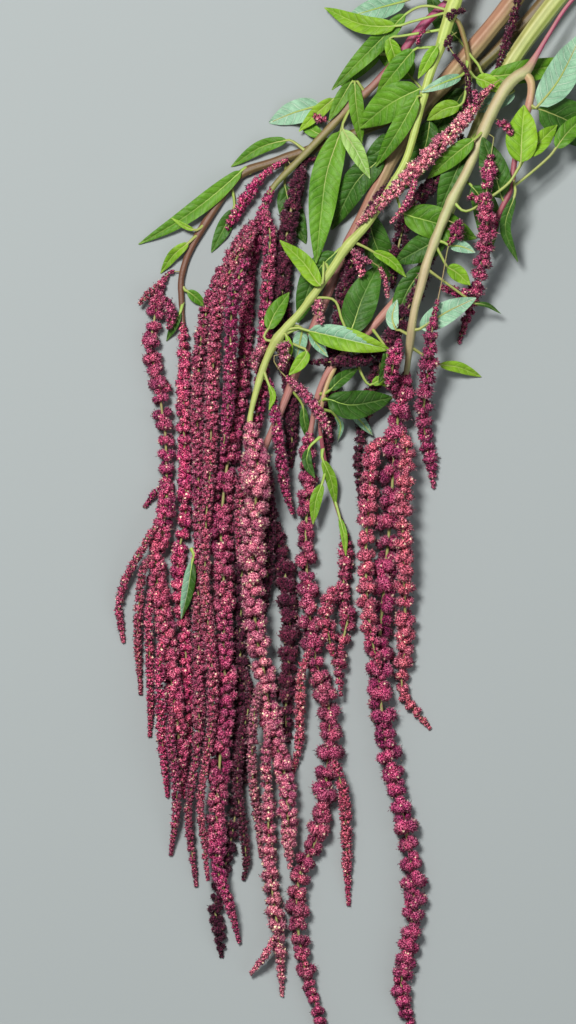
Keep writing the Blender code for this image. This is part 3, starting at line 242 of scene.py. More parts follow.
leaves("red",
    ([(306, 152), (294, 141)], [(287, 139), (260, 146), (231, 165)], 19, 12, "mid"),
    ([(350, 105), (333, 101)], [(320, 104), (294, 111), (269, 121)], 34, 8, "mint"),
    ([(345, 110), (339, 99)], [(334, 98), (317, 112), (299, 130)], 19, 12, "bright"),
)
head("red_knot", "red", "soft", [(331, 125, 4), (323, 120, 8), (318, 117, 9), (313, 114, 5)],
     "seed_cluster_red")
leaves("red",
    ([(400, 55), (386, 53)], [(380, 53), (363, 61), (341, 83)], 28, 10, "mid"),
    ([(364, 93), (355, 82)], [(352, 81), (342, 97), (329, 120)], 19, 14, "mid"),
    ([(366, 91), (357, 80)], [(355, 82), (357, 110), (362, 142)], 21, 12, "mid"),
    ([(352, 103), (344, 120)], [(341, 130), (327, 172), (321, 215), (316, 263)], 42, 10, "mid"),
    ([(352, 104), (345, 119)], [(343, 129), (356, 150), (370, 178)], 23, 12, "pale"),
)
head("top_spike", "red", "beads", [(518, -52, 4), (521, -22, 7), (517, 4, 9), (510, 30, 10),
     (504, 48, 10), (497, 69, 4)], "seed_spike_top")

# %% The pale green stem in front, with the heavy pink head
shoot("front", None, [(682, -222, 14), (634, -118, 14), (578, -94, 13), (520, -72, 12), (477, -42, 12),
      (456, 0, 12), (447, 25, 12), (440, 48, 10), (430, 74, 9), (423, 99, 8), (414, 134, 8),
      (406, 160, 8), (394, 182, 8), (368, 223, 9), (347, 247, 9), (328, 275, 8), (303, 309, 8),
      (281, 334, 8), (267, 358, 7), (257, 388, 7), (250, 418, 6)], "seed_head_pink", "soft",
      [(251, 434, 18), (257, 456, 27), (257, 488, 30), (253, 534, 28), (253, 590, 26), (257, 637, 25),
      (263, 667, 25), (267, 698, 24), (276, 744, 24), (286, 782, 23), (288, 827, 19), (290, 870, 6)])
head("pink_side", "front", "soft", [(264, 675, 5), (255, 708, 10), (252, 745, 11), (253, 783, 11),
     (258, 825, 9), (261, 860, 4)])
head("pink_tail", "front", "beads", [(270, 712, 6), (266, 752, 12), (268, 816, 15), (270, 873, 18),
     (274, 904, 18), (279, 943, 17), (282, 998, 4)])
head("pink_tip", "pink_tail", "soft", [(277, 932, 5), (264, 958, 9), (250, 976, 4)])
head("front_spike", "front", "soft", [(259, 378, 4), (272, 392, 8), (277, 427, 13), (281, 460, 13),
     (285, 488, 12), (293, 515, 4)], "seed_spike_front")
head("lean_spike", "front", "soft", [(272, 347, 4), (273, 357, 4), (278, 368, 4), (285, 376, 5),
     (292, 382, 8), (303, 392, 12), (315, 407, 13), (324, 421, 12), (331, 437, 4)], "seed_spike_lean")
head("low_knot", "front", "soft", [(270, 350, 4), (263, 347, 10), (257, 354, 11), (254, 364, 9),
     (256, 372, 4)], "seed_cluster_low")
leaves("front",
    ([(330, 271), (324, 262)], [(321, 286), (303, 262), (280, 240)], 25, 12, "bright"),
    ([(277, 340), (266, 340), (264, 335)], [(268, 329), (275, 313), (289, 292)], 24, 8, "mid"),
    ([(312, 298), (334, 300), (342, 320)], [(350, 332), (362, 299), (379, 264)], 46, 8, "dark"),
    ([(352, 242), (366, 248)], [(373, 252), (390, 260), (406, 277)], 16, 16, "bright"),
)
head("front_knot", "front", "soft", [(347, 247, 4), (356, 258, 10), (361, 268, 11), (362, 278, 5)],
     "seed_cluster_front")
leaves("front",
    ([(290, 325), (298, 326)], [(302, 329), (300, 342), (296, 360)], 20, 8, "mint"),
    ([(281, 334), (298, 329)], [(309, 333), (317, 344), (328, 357)], 14, 16, "mint"),
    ([(276, 340), (283, 332), (297, 328)], [(309, 331), (348, 340), (390, 350)], 34, 10, "split"),
    ([(276, 341), (290, 343), (300, 347)], [(307, 351), (300, 363), (289, 375)], 18, 10, "bright"),
    ([(278, 338), (283, 333)], [(286, 335), (290, 349), (285, 367)], 9, 18, "bright"),
    ([(263, 370), (267, 380)], [(269, 385), (273, 396), (269, 410)], 9, 16, "bright"),
    ([(392, 186), (399, 204)], [(404, 214), (438, 224), (476, 238)], 46, 8, "mid"),
    ([(452, 10), (425, 6)], [(406, 14), (386, 34), (360, 60), (332, 89)], 27, 12, "mid"),
    ([(455, 3), (425, -6)], [(405, 0), (380, 6), (347, 15)], 32, 8, "mint"),
    ([(452, 12), (412, 22)], [(396, 26), (362, 24), (325, 6)], 26, 14, "bright"),
    ([(446, 30), (402, 36)], [(390, 38), (394, 54), (399, 74)], 22, 12, "bright"),
    ([(440, 48), (424, 48)], [(414, 50), (398, 68), (377, 93)], 28, 10, "mid"),
    ([(424, 96), (422, 91)], [(419, 90), (390, 104), (360, 127)], 48, 8, "mid"),
    ([(423, 99), (420, 96)], [(417, 98), (400, 128), (376, 166)], 27, 10, "mid"),
    ([(444, 38), (440, 44)], [(437, 47), (429, 59), (418, 79)], 17, 12, "bright"),
)
shoot("thread", "front", [(449, 17, 6), (458, 22, 5), (464, 38, 5), (468, 55, 5), (469, 75, 5),
      (467, 92, 4)], "seed_cluster_thread", "soft", [(467, 97, 6), (466, 104, 8), (464, 112, 4)])
leaves("thread",
    ([(467, 50), (478, 64)], [(488, 76), (530, 70), (580, 57)], 32, 10, "mid"),
    ([(469, 70), (473, 75)], [(476, 78), (488, 82), (504, 92)], 22, 10, "bright"),
    ([(469, 80), (464, 100)], [(460, 105), (444, 109), (427, 120)], 23, 8, "bright"),
    ([(468, 60), (466, 70)], [(461, 76), (444, 83), (421, 93)], 17, 14, "mint"),
)

# %% The arched stem on top, with the heaviest beaded head on the right
shoot("arch", None, [(722, -160, 9), (670, -96, 8), (618, -46, 8), (572, 0, 7), (549, 34, 7),
      (536, 56, 8), (526, 71, 11), (515, 78, 12), (503, 92, 12), (487, 123, 11), (469, 167, 10),
      (450, 204, 10), (436, 238, 9), (427, 262, 9), (421, 285, 9), (414, 312, 8), (410, 342, 8),
      (407, 370, 7)], "seed_head_beaded", "beads", [(403, 388, 22), (398, 420, 29), (395, 450, 30),
      (393, 480, 31), (390, 525, 31), (386, 568, 32), (382, 615, 31), (379, 658, 29), (381, 701, 28),
      (388, 750, 26), (397, 790, 25), (407, 835, 24), (414, 881, 24), (414, 917, 23), (408, 951, 22),
      (402, 980, 20), (404, 1005, 17), (411, 1026, 12), (415, 1048, 5)])
head("beaded_top", "arch", "soft", [(402, 400, 5), (391, 384, 13), (393, 364, 18), (397, 350, 14),
     (399, 340, 5)])
head("beaded_mid", "arch", "beads", [(397, 445, 5), (383, 440, 12), (372, 456, 20), (369, 500, 22),
     (366, 545, 22), (367, 600, 21), (372, 640, 17), (380, 668, 5)])
head("beaded_side", "arch", "beads", [(399, 425, 5), (407, 446, 15), (405, 480, 20), (403, 520, 21),
     (404, 560, 21), (405, 598, 21), (406, 645, 21), (402, 678, 16), (406, 700, 13), (418, 714, 11),
     (431, 730, 4)])
shoot("leg", "arch", [(523, 73, 9), (530, 80, 9), (531, 92, 8), (527, 112, 7), (518, 140, 7),
      (514, 164, 6), (510, 190, 6), (501, 210, 6)], "seed_cluster_leg", "soft", [(497, 218, 7),
      (494, 228, 8), (493, 238, 4)])
leaves("leg",
    ([(512, 178), (515, 190)], [(514, 197), (505, 228), (518, 261)], 16, 16, "dark"),
    ([(505, 202), (503, 199)], [(501, 198), (494, 172), (482, 138)], 40, 8, "dark"),
)
leaves("arch",
    ([(484, 130), (478, 137)], [(473, 141), (452, 157), (428, 178)], 26, 10, "mid"),
)
leaves("leg",
    ([(527, 106), (535, 109)], [(539, 109), (572, 122), (610, 146)], 58, 8, "dark"),
    ([(528, 104), (534, 107)], [(538, 106), (560, 78), (584, 30)], 46, 14, "mint"),
)
leaves("arch",
    ([(452, 200), (466, 212), (490, 198), (508, 184), (519, 168)], [(526, 157), (539, 143), (557, 125)],
     26, 14, "bright"),
)
leaves("leg",
    ([(510, 190), (526, 177), (548, 158)], [(556, 148), (568, 132), (588, 112)], 26, 10, "mid"),
)
leaves("arch",
    ([(452, 200), (466, 212), (490, 198), (508, 184), (516, 172)], [(520, 163), (521, 140), (524, 106)],
     44, 6, "bright"),
)
head("right", "arch", "beads", [(484, 131, 4), (493, 141, 4), (491, 153, 5), (489, 166, 13),
     (488, 177, 22), (486, 190, 9), (485, 203, 17), (486, 224, 21), (485, 246, 19), (479, 275, 17),
     (475, 294, 16), (470, 310, 13), (460, 342, 4)], "seed_head_right")
head("right_side", "right", "beads", [(476, 290, 5), (462, 293, 12), (452, 290, 13), (440, 286, 5)])
head("right_twin", "right", "beads", [(485, 205, 5), (473, 199, 10), (466, 197, 4)])
leaves("arch",
    ([(434, 243), (444, 262)], [(447, 267), (457, 273), (470, 285)], 22, 10, "bright"),
    ([(436, 240), (444, 243)], [(449, 246), (461, 247), (475, 253)], 17, 10, "mint"),
    ([(426, 268), (450, 286), (468, 299)], [(474, 303), (488, 305), (501, 313)], 7, 20, "dark"),
    ([(410, 345), (428, 358)], [(440, 364), (460, 367), (482, 376)], 16, 16, "bright"),
    ([(412, 330), (417, 330)], [(420, 329), (447, 312), (476, 298)], 32, 10, "mint"),
    ([(411, 336), (399, 330)], [(396, 330), (392, 317), (397, 300)], 18, 12, "mint"),
)
head("knot", "arch", "beads", [(444, 218, 4), (457, 226, 17), (456, 234, 17), (449, 244, 6),
     (446, 256, 5), (443, 274, 5), (438, 298, 5), (433, 320, 9), (431, 336, 17), (428, 373, 19),
     (424, 408, 19), (427, 444, 17), (433, 470, 12), (434, 488, 4)], "seed_head_knot")
head("pink_spike", "arch", "soft", [(509, 87, 4), (494, 84, 5), (484, 94, 8), (476, 104, 13),
     (464, 120, 16), (445, 140, 18), (425, 160, 18), (407, 178, 17), (390, 195, 15), (372, 212, 11),
     (357, 225, 4)], "seed_spike_pink")
head("pink_spike_side", "pink_spike", "soft", [(416, 169, 5), (413, 188, 8), (405, 206, 8),
     (391, 223, 4)])
head("arch_knot", "arch", "soft", [(490, 117, 4), (500, 124, 11), (507, 129, 11), (511, 136, 5)],
     "seed_cluster_arch")

# The loose leaf between the heads of the curtain
leaves("long_a", ([(198, 548), (194, 556)], [(192, 562), (188, 588), (181, 619)], 18, 14, "flank"),
        node="leaf_in_curtain")
SOLID_STRANDS = len(PLAN)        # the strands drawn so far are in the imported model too
print("strands in the packed model:", SOLID_STRANDS)

# %% Small tufts that only this script adds, on top of the finished pile
head("tuft_a", "front", "soft", [(346, 249, 4), (353, 253, 8), (362, 260, 9), (371, 263, 5)],
     "seed_cluster_front")
head("tuft_b", "tuft_a", "soft", [(366, 262, 3), (378, 266, 3), (385, 280, 7), (388, 298, 5)])
head("tuft_c", "front", "soft", [(312, 299, 5), (318, 304, 12), (318, 314, 12), (323, 325, 6)],
     "seed_cluster_low")
head("tuft_d", "front", "soft", [(276, 340, 5), (283, 345, 12), (285, 356, 13), (281, 368, 7)],
     "seed_cluster_low")
head("tuft_e", "front", "soft", [(452, 6, 2), (451, 14, 9), (450, 22, 6)], "seed_spike_top")
head("tuft_f", "thread", "soft", [(449, 38, 2), (447, 44, 9), (452, 53, 4), (459, 62, 2), (466, 72, 5),
     (468, 88, 7), (470, 104, 4)], "seed_spike_top")
head("tuft_g", "red", "soft", [(423, 22, 3), (421, 34, 3), (417, 46, 5)], "seed_cluster_red")
head("tuft_h", "pink_spike", "soft", [(474, 110, 7), (476, 100, 9), (473, 91, 5)])
print("strands in all:", len(PLAN))

# %% [markdown]
# ## Smooth curves from a few points
# A Catmull-Rom curve passes through every point that it is given, which suits stems that were drawn
# point by point. Each point also carries a width, and the width runs along with the curve.

# %% Curve helpers
PARTS = 10               # points of a curve for each one that it was given


def plan_xy(across, down):
    """A plan point in metres, with the plan's middle at the origin."""
    return (across - PLAN_ACROSS / 2) * STEP, (PLAN_DOWN / 2 - down) * STEP


def smooth_route(points):
    """Many points of a Catmull-Rom curve through the given ones, with the length run at each."""
    given = np.array(points, float)
    padded = np.vstack([2 * given[0] - given[1], given, 2 * given[-1] - given[-2]])
    found = []
    for a, b, c, d in zip(padded, padded[1:], padded[2:], padded[3:]):
        for t in np.arange(0, 1, 1 / PARTS):
            found.append(0.5 * (2 * b + (c - a) * t + (2 * a - 5 * b + 4 * c - d) * t ** 2
                                + (3 * b - a - 3 * c + d) * t ** 3))
    found.append(given[-1])
    found = np.array(found)
    run = np.concatenate([[0], np.cumsum(np.hypot(*np.diff(found[:, :2], axis=0).T))])
    return found, run


def along(route, run, where):
    """The route's columns at the given lengths."""
    return np.stack([np.interp(where, run, column) for column in route.T], axis=1)


def even(start, end, step):
    """Lengths from start to end, near enough step apart."""
    return np.linspace(start, end, max(2, 1 + round((end - start) / step)))


def metres(points):
    """Plan points as (x, y, half width) in metres."""
    return [(*plan_xy(p[0], p[1]), 0.5 * STEP * p[2]) for p in points]


longest = max(smooth_route(metres(row[-1]))[1][-1] for row in PLAN if row[0] != "leaf")
print("the longest seed head measures", round(float(longest), 2), "m")

# %% [markdown]
# ## Coarse rings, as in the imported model
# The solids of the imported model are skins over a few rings. The fine pieces have to lie where those
# solids lie, so the same rings are made here again: they decide how high each strand comes to lie.

# %% Rings of stems and seed heads
STEM_RING = 0.040        # length between two rings of a stem
SIDE_STEM_RING = 0.6     # and of a side stem, as a share of that
EIGHT_SIDED = 0.0055     # half width above which a stem has eight sides, not six
HEAD_RING = 0.0200       # length between two rings of a seed head
THIN_HEAD = 0.0110       # a narrower seed head has four sides, not six
BEAD_PITCH = 0.0273      # length of three rings where the flowers form balls
BEAD_WAIST = 0.52        # waist between two balls, as a share of the ball
WAIST_FROM = 0.0035      # least half width that has a waist
KNOB_HIGH, KNOB_LOW = 1.06, 0.80
HEAD_START, HEAD_TIP = 0.9, 0.8  # width of the first ring and the last, as a share of the head's


def circle(sides, turn=0.0):
    """Points round a circle of radius one."""
    angle = turn + 2 * np.pi * np.arange(sides) / sides
    return np.stack([np.cos(angle), np.sin(angle)], axis=1)


def stem_rings(half_width):
    """Offsets (side, up) of a stem's rings."""
    around = circle(8, np.pi / 8) if half_width.max() > EIGHT_SIDED else circle(6)
    return half_width[:, None, None] * around


def head_rings(half_width, kind):
    """Offsets of a seed head's rings, where every other corner stands out."""
    sides = 6 if 2 * half_width.max() > THIN_HEAD else 4
    ring = np.arange(len(half_width))
    knob = np.where((ring[:, None] + np.arange(sides)) % 2 == 0, KNOB_HIGH, KNOB_LOW)
    reach = half_width[:, None] * knob
    if kind == "beads":
        waist = (ring % 3 == 0) & (half_width > WAIST_FROM)
        reach = np.where(waist[:, None], half_width[:, None] * BEAD_WAIST, reach)
    reach[0] = half_width[0] * HEAD_START
    reach[-1] = half_width[-1] * HEAD_TIP
    return reach[:, :, None] * circle(sides)


# %% Rings of leaves
PETIOLE = 0.0024         # thickness of a leaf stalk
BLADE_EDGE, BLADE_RIB = 0.0007, 0.0011   # thickness of a blade at its edge and its middle
RIB_SWELL = 0.0009       # how much thicker the middle is at the stalk
LEAST_HALF = 0.0012      # half width at the tip
WAVE, WAVES, WAVE_SHIFT = 0.07, 2.6, 400  # height, half turns and start of the blade's slow wave
SMALL_LEAF = 0.041       # a shorter blade has fewer rings
SMALL_SHARES = (0.0, 0.20, 0.58, 1.0)
LARGE_SHARES = (0.0, 0.13, 0.38, 0.70, 1.0)


def swell_at(t):
    """Half width of a blade along its length, as a share of the widest place."""
    return (t + 0.02) ** 0.62 * (1.015 - t) ** 0.95 / 0.5065


def leaf_rings(shares, width, length, fold, stalk_count):
    """Offsets of a leaf's rings: a thick stalk, then a folded and waved blade."""
    rings = []
    for index, t in enumerate(shares):
        if index < stalk_count:
            half, edge, rib, rise, wave = PETIOLE / 2, 0.45 * PETIOLE, PETIOLE, 0.0, 0.0
        else:
            half = max(0.5 * width * swell_at(t), LEAST_HALF)
            edge, rib = BLADE_EDGE, BLADE_RIB + RIB_SWELL * (1 - t) ** 4
            rise = half * math.sin(math.radians(fold))
            wave = WAVE * half * math.sin(WAVES * math.pi * t + length * WAVE_SHIFT)
        reach = half * math.cos(math.radians(fold))
        left, right = rise + wave, rise - wave
        rings.append([(-reach, left + edge / 2), (0, rib / 2), (reach, right + edge / 2),
                      (reach, right - edge / 2), (0, -rib / 2), (-reach, left - edge / 2)])
    return np.array(rings)


# %% A skin over the rings
def skin(rings, sides, pattern):
    """Triangles of a closed skin over the rings, and the ring that each one starts at."""
    faces = []
    start = []
    for i in range(rings - 1):
        for j in range(sides):
            a, b = i * sides + j, i * sides + (j + 1) % sides
            c, d = b + sides, a + sides
            rising = {"leaf": j not in (3, 4), "head": (i + j) % 2 == 1, "stem": True}[pattern]
            faces += [(a, b, c), (a, c, d)] if rising else [(a, b, d), (b, c, d)]
            start += [i, i]
    last = (rings - 1) * sides
    for j in range(1, sides - 1):
        faces += [(0, j + 1, j), (last, last + j, last + j + 1)]
        start += [0, rings - 2]
    return np.array(faces), np.array(start)


print("a stem with 10 rings of eight sides has", len(skin(10, 8, "stem")[0]), "triangles")

# %% [markdown]
# ## Piling the strands up
# A real bunch is laid down one strand on another. A height map keeps the top of what already lies
# there, and each new strand is lifted until it clears it. A physics run would also do this, but it is
# slower and would have to be steered to give the pile of the photograph.

# %% The height map
CELL = 0.0015            # size of a cell of the height map
SPREAD = 0.0006          # margin round each strand in it
STRAND_GAP = 0.00045     # air left between one strand and the next one down
MAP_LEFT, MAP_RIGHT, MAP_TOP, MAP_BOTTOM = 90, 740, -260, 1070   # in steps of the plan


class Pile:
    """A height map of what already lies on the floor, in full and with one named strand left out."""

    def __init__(self, names):
        self.x0, self.y0 = plan_xy(MAP_LEFT, MAP_BOTTOM)
        x1, y1 = plan_xy(MAP_RIGHT, MAP_TOP)
        self.across = int((x1 - self.x0) / CELL) + 1
        self.down = int((y1 - self.y0) / CELL) + 1
        self.full = np.zeros(self.across * self.down)
        self.without = {name: self.full.copy() for name in names}

    def cells(self, x, y):
        """The cell under each point."""
        return ((x - self.x0) / CELL).astype(int) * self.down + ((y - self.y0) / CELL).astype(int)

    def add(self, name, samples):
        """Raises the map to the top of the samples, with a margin round each."""
        x, y, z = samples.T
        shifts = [(a, b) for a in (-SPREAD, 0, SPREAD) for b in (-SPREAD, 0, SPREAD)]
        cells = np.concatenate([self.cells(x + a, y + b) for a, b in shifts])
        tops = np.tile(z, len(shifts))
        order = np.argsort(tops)
        top_of = dict(zip(cells[order].tolist(), tops[order].tolist()))
        where = np.array(list(top_of))
        tops = np.array(list(top_of.values()))
        for other, heights in [("", self.full), *self.without.items()]:
            if other != name:
                heights[where] = np.maximum(heights[where], tops)


def floor_under(heights, cells):
    """Height that a sample must clear: the floor itself, or a strand and the gap over it."""
    found = heights[cells]
    return np.where(found > 0, found + STRAND_GAP, 0.0)


pile = Pile({row[2] if row[0] == "leaf" else row[3] for row in PLAN} - {None})
print("cells of the height map:", pile.across, "by", pile.down)

# %% A strand that settles
LIMP, STIFF, LEAF_LIMP = 0.12, 1.0, 0.5   # how far seed heads, stems and leaves bridge hollows
HIGHEST = 0.16           # nothing is lifted higher than this
STEEPEST = 0.55          # greatest slope of a strand, as rise over run
SAMPLE_STEP = 0.0011     # length between two sample points on a strand's skin
FEWEST_STEPS, MOST_STEPS = 4, 40   # such steps along the side of a triangle
FREE_OF_ROOT = 0.6       # place of the first samples that count, in rings from the root
SMOOTHINGS = 40
TURNS, SINKING_TURNS = 9, 5   # rounds of lifting, and those in which a strand may sink again


def share_grid(count):
    """Weights of the sample points spread over a triangle."""
    return np.array([(i, j, count - i - j) for i in range(count + 1) for j in range(count + 1 - i)]) / count


class Strand:
    """A run of rings, in one piece or as a stem and its head, whose heights the pile decides."""

    def __init__(self, at, xy, pieces, patterns, nodes, limpness, first_turn=None):
        self.at = at
        self.xy = xy
        self.offsets = pieces
        self.nodes = nodes
        self.limpness = limpness
        self.first_turn = first_turn
        self.run = np.concatenate([[0], np.cumsum(np.hypot(*np.diff(xy, axis=0).T))])
        self.half = np.concatenate([np.abs(piece[:, :, 0]).max(axis=1) for piece in pieces])
        self.skins = [skin(len(p), p.shape[1], pattern) for p, pattern in zip(pieces, patterns)]
        self.z = np.concatenate([-piece[:, :, 1].min(axis=1) for piece in pieces])

    def directions(self):
        """Each ring's middle, and the unit vectors beside and above it."""
        spine = np.column_stack([self.xy, self.z])
        ahead = np.empty_like(spine)
        ahead[1:-1] = spine[2:] - spine[:-2]
        ahead[0] = spine[1] - spine[0]
        ahead[-1] = spine[-1] - spine[-2]
        if len(self.offsets) == 2:
            joint = len(self.offsets[0])
            ahead[joint - 1:joint + 1] = spine[joint + 1] - spine[joint - 2]
        if self.first_turn is not None:
            ahead[0] = (*self.first_turn, 0)
        ahead /= np.linalg.norm(ahead, axis=1)[:, None]
        beside = np.column_stack([ahead[:, 1], -ahead[:, 0], np.zeros(len(ahead))])
        beside /= np.linalg.norm(beside, axis=1)[:, None]
        return spine, beside, np.cross(beside, ahead)

    def corners(self):
        """Corner points of each piece."""
        spine, beside, above = self.directions()
        first = 0
        found = []
        for piece in self.offsets:
            here = slice(first, first + len(piece))
            first += len(piece)
            found.append(spine[here, None] + piece[:, :, :1] * beside[here, None]
                         + piece[:, :, 1:] * above[here, None])
        return found

    def samples(self):
        """Points spread over the skin, the ring that each one starts at, and its place along."""
        points = []
        rings = []
        places = []
        first = 0
        for corners, (faces, start) in zip(self.corners(), self.skins):
            flat = corners.reshape(-1, 3)
            triangles = flat[faces]
            longest = np.linalg.norm(triangles - np.roll(triangles, 1, axis=1), axis=2).max()
            weights = share_grid(min(MOST_STEPS, max(FEWEST_STEPS, int(longest / SAMPLE_STEP))))
            points.append((weights @ triangles).reshape(-1, 3))
            rings.append(first + np.repeat(start, len(weights)))
            places.append(first + ((faces // corners.shape[1]) @ weights.T).reshape(-1))
            first += len(corners)
        return np.concatenate(points), np.concatenate(rings), np.concatenate(places)

    def draped(self, needed, root):
        """Heights of a strand that bridges hollows as far as it is stiff, and never dips too steeply."""
        z = needed.copy()
        step = np.maximum(np.diff(self.run), 1e-5)
        for _ in range(SMOOTHINGS):
            if root is not None:
                z[0] = root
            middle = (z[:-2] * step[1:] + z[2:] * step[:-1]) / (step[1:] + step[:-1])
            z[1:-1] = np.maximum(needed[1:-1], z[1:-1] + self.limpness[1:-1] * (middle - z[1:-1]))
        for i in range(1, len(z)):
            if i > 1 or root is None:
                z[i] = max(z[i], z[i - 1] - STEEPEST * step[i - 1])
        for i in range(len(z) - 2, -1, -1):
            z[i] = max(z[i], z[i + 1] - STEEPEST * step[i])
        if root is not None:
            z[0] = root
        return np.minimum(z, HIGHEST)

    def lifted(self, heights, cells, points, rings):
        """Heights at which every ring clears the map."""
        lift = np.full(len(self.z), -1.0)
        rise = floor_under(heights, cells) - points[:, 2]
        np.maximum.at(lift, rings, rise)
        np.maximum.at(lift, rings + 1, rise)
        return self.z + lift

    def settle(self, parent_name, root, fused):
        """Finds the heights: over everything, but free of its own parent close to where it springs."""
        for turn in range(TURNS):
            points, rings, places = self.samples()
            if root is not None:
                counted = places > FREE_OF_ROOT
                points, rings = points[counted], rings[counted]
            cells = pile.cells(points[:, 0], points[:, 1])
            needed = self.lifted(pile.full, cells, points, rings)
            if parent_name:
                free = self.lifted(pile.without[parent_name], cells, points, rings)
                if fused:
                    needed = np.maximum(free, np.minimum(needed, root + STEEPEST * self.run))
                else:
                    needed[:2] = free[:2]
            z = self.draped(needed, root)
            self.z = z if turn < SINKING_TURNS else np.maximum(z, self.z)
            if root is not None:
                self.z[0] = root


# %% [markdown]
# ## From a row of the plan to a strand
# Side strands start on their parent: a stem's leaf or a head's finger grows out of its middle line,
# and a seed head starts just off the skin of the stem that carries it.

# %% Where a side strand starts
JOINT_GAP = 0.00035      # air left between a stem and the seed head it carries
strands = {}             # the settled strands that have a name


def nearest(strand, x, y):
    """Centre, height, direction and half width of a strand where it passes closest to a plan point."""
    dense = np.linspace(0, strand.run[-1], 400)
    px, py, pz, half = (np.interp(dense, strand.run, column)
                        for column in (*strand.xy.T, strand.z, strand.half))
    k = int(np.argmin((px - x) ** 2 + (py - y) ** 2))
    k = min(max(k, 1), len(dense) - 2)
    turn = np.array([px[k + 1] - px[k - 1], py[k + 1] - py[k - 1]])
    return np.array([px[k], py[k]]), pz[k], turn / np.linalg.norm(turn), half[k]


def start_at(parent, node, points):
    """Middle and height of the parent, and where the node is another one, the way out and how far."""
    strand = strands[parent]
    centre, root, turn, half = nearest(strand, *points[0][:2])
    if node in strand.nodes:
        return centre, root, None, 0.0
    out = np.array([-turn[1], turn[0]])
    out *= 1 if out @ (np.array(points[1][:2]) - centre) > 0 else -1
    return centre, root, out, half + JOINT_GAP


# %% Strands
HEAD_NECK = 0.0026       # straight start of a side head, before its first bend
NECK_HALF = 0.004        # greatest half width that the neck widens towards
STALK_RING = 0.028       # length between two rings of a leaf stalk
THIN_MARGIN, THIN_RING = 0.001, 0.85   # up to this far over THIN_HEAD, steps shrink to this share


def head_step(kind):
    """Length between two rings of a seed head."""
    return BEAD_PITCH / 3 if kind == "beads" else HEAD_RING


def shoot_strand(row):
    """A stem and the seed head on its end, as one smooth run cut in two by the joint gap."""
    _, name, stem_node, parent, stem, head_node, kind, head_points = row
    points = metres(stem)
    root = None
    if parent:
        centre, root, _, _ = start_at(parent, stem_node, points)
        points[0] = (*centre, points[0][2])
    route, run = smooth_route(points + metres(head_points))
    joint = run[PARTS * (len(points) - 1)]
    stem_at = even(0, joint, SIDE_STEM_RING * STEM_RING if parent else STEM_RING)
    head_at = even(joint + JOINT_GAP, run[-1], head_step(kind))
    stem_rows, head_rows = along(route, run, stem_at), along(route, run, head_at)
    strand = Strand(np.concatenate([stem_at, head_at]), np.vstack([stem_rows, head_rows])[:, :2],
                    [stem_rings(stem_rows[:, 2]), head_rings(head_rows[:, 2], kind)], ["stem", "head"],
                    [stem_node, head_node],
                    np.concatenate([np.full(len(stem_at), STIFF), np.full(len(head_at), LIMP)]))
    strand.facts = {"name": name, "route": route, "run": run, "joint": joint, "kind": kind}
    return strand, parent, root, True


def head_strand(row):
    """A seed head that springs from the side of another strand."""
    _, name, node, parent, kind, head_points = row
    points = metres(head_points)
    centre, root, out, off = start_at(parent, node, points)
    points[0] = (*centre, points[0][2])
    if out is not None:
        points[0] = (*(centre + out * off), points[0][2])
        away = centre + out * (off + HEAD_NECK + 0.6 * points[1][2])
        points.insert(1, (*away, 0.6 * points[0][2] + 0.4 * min(points[1][2], NECK_HALF)))
    route, run = smooth_route(points)
    thin = 2 * max(p[2] for p in points) < THIN_HEAD + THIN_MARGIN
    step = head_step(kind) * (THIN_RING if thin else 1)
    at = even(0, run[-1], step)
    if out is not None:
        at = np.concatenate([[0], even(run[PARTS], run[-1], step)])
    rows = along(route, run, at)
    strand = Strand(at, rows[:, :2], [head_rings(rows[:, 2], kind)], ["head"], [node],
                    np.full(len(rows), LIMP), out)
    strand.facts = {"name": name, "route": route, "run": run, "joint": 0.0, "kind": kind}
    return strand, parent, root, out is None


def leaf_strand(row):
    """A leaf on its stalk, which springs from a stem."""
    _, node, parent, stalk, blade, width, fold, tone = row
    points = metres([(*p, 0.0) for p in stalk + blade])
    centre, root, out, off = start_at(parent, node, points)
    points[0] = (*(centre if out is None else centre + out * off), 0.0)
    route, run = smooth_route(points)
    neck = run[PARTS * len(stalk)]
    length = run[-1] - neck
    stalk_at = even(0, neck, STALK_RING)[:-1]
    shares = np.array(SMALL_SHARES if length < SMALL_LEAF else LARGE_SHARES)
    at = np.concatenate([stalk_at, neck + shares * length])
    all_shares = np.concatenate([np.zeros(len(stalk_at)), shares])
    rings = leaf_rings(all_shares, width * STEP, length, fold, len(stalk_at))
    xy = along(route, run, at)[:, :2]
    strand = Strand(at, xy, [rings], ["leaf"], [node], np.full(len(at), LEAF_LIMP), out)
    strand.facts = {"name": None, "route": route, "run": run, "neck": neck, "length": length,
                    "width": width * STEP, "fold": fold, "tone": tone}
    return strand, parent, root, out is None


# %% Let them settle
MAKERS = {"shoot": shoot_strand, "head": head_strand, "leaf": leaf_strand}
settled = []
for row in PLAN:
    strand, parent, root, fused = MAKERS[row[0]](row)
    strand.settle(parent, root, fused)
    name = strand.facts["name"]
    pile.add(name, strand.samples()[0])
    if name:
        strands[name] = strand
    strand.facts.update(sort=row[0], parent=parent)
    settled.append(strand)

packed = settled[:SOLID_STRANDS]
everything = np.concatenate([c.reshape(-1, 3) for strand in packed for c in strand.corners()])
low, high = everything.min(axis=0), everything.max(axis=0)
shift = np.array([-(low[0] + high[0]) / 2, -(low[1] + high[1]) / 2, 0])
miss = np.abs(np.array(cad_box) - np.array([low + shift, high + shift])).max()
print("the pile's box and the packed model's differ by", round(1000 * float(miss), 3), "mm")

# %% [markdown]
# ## Fine curves
# The pile is settled on coarse rings, so its heights have corners. A moving average rounds them off,
# and from here on every fine piece is placed by its length along one of these smooth curves.

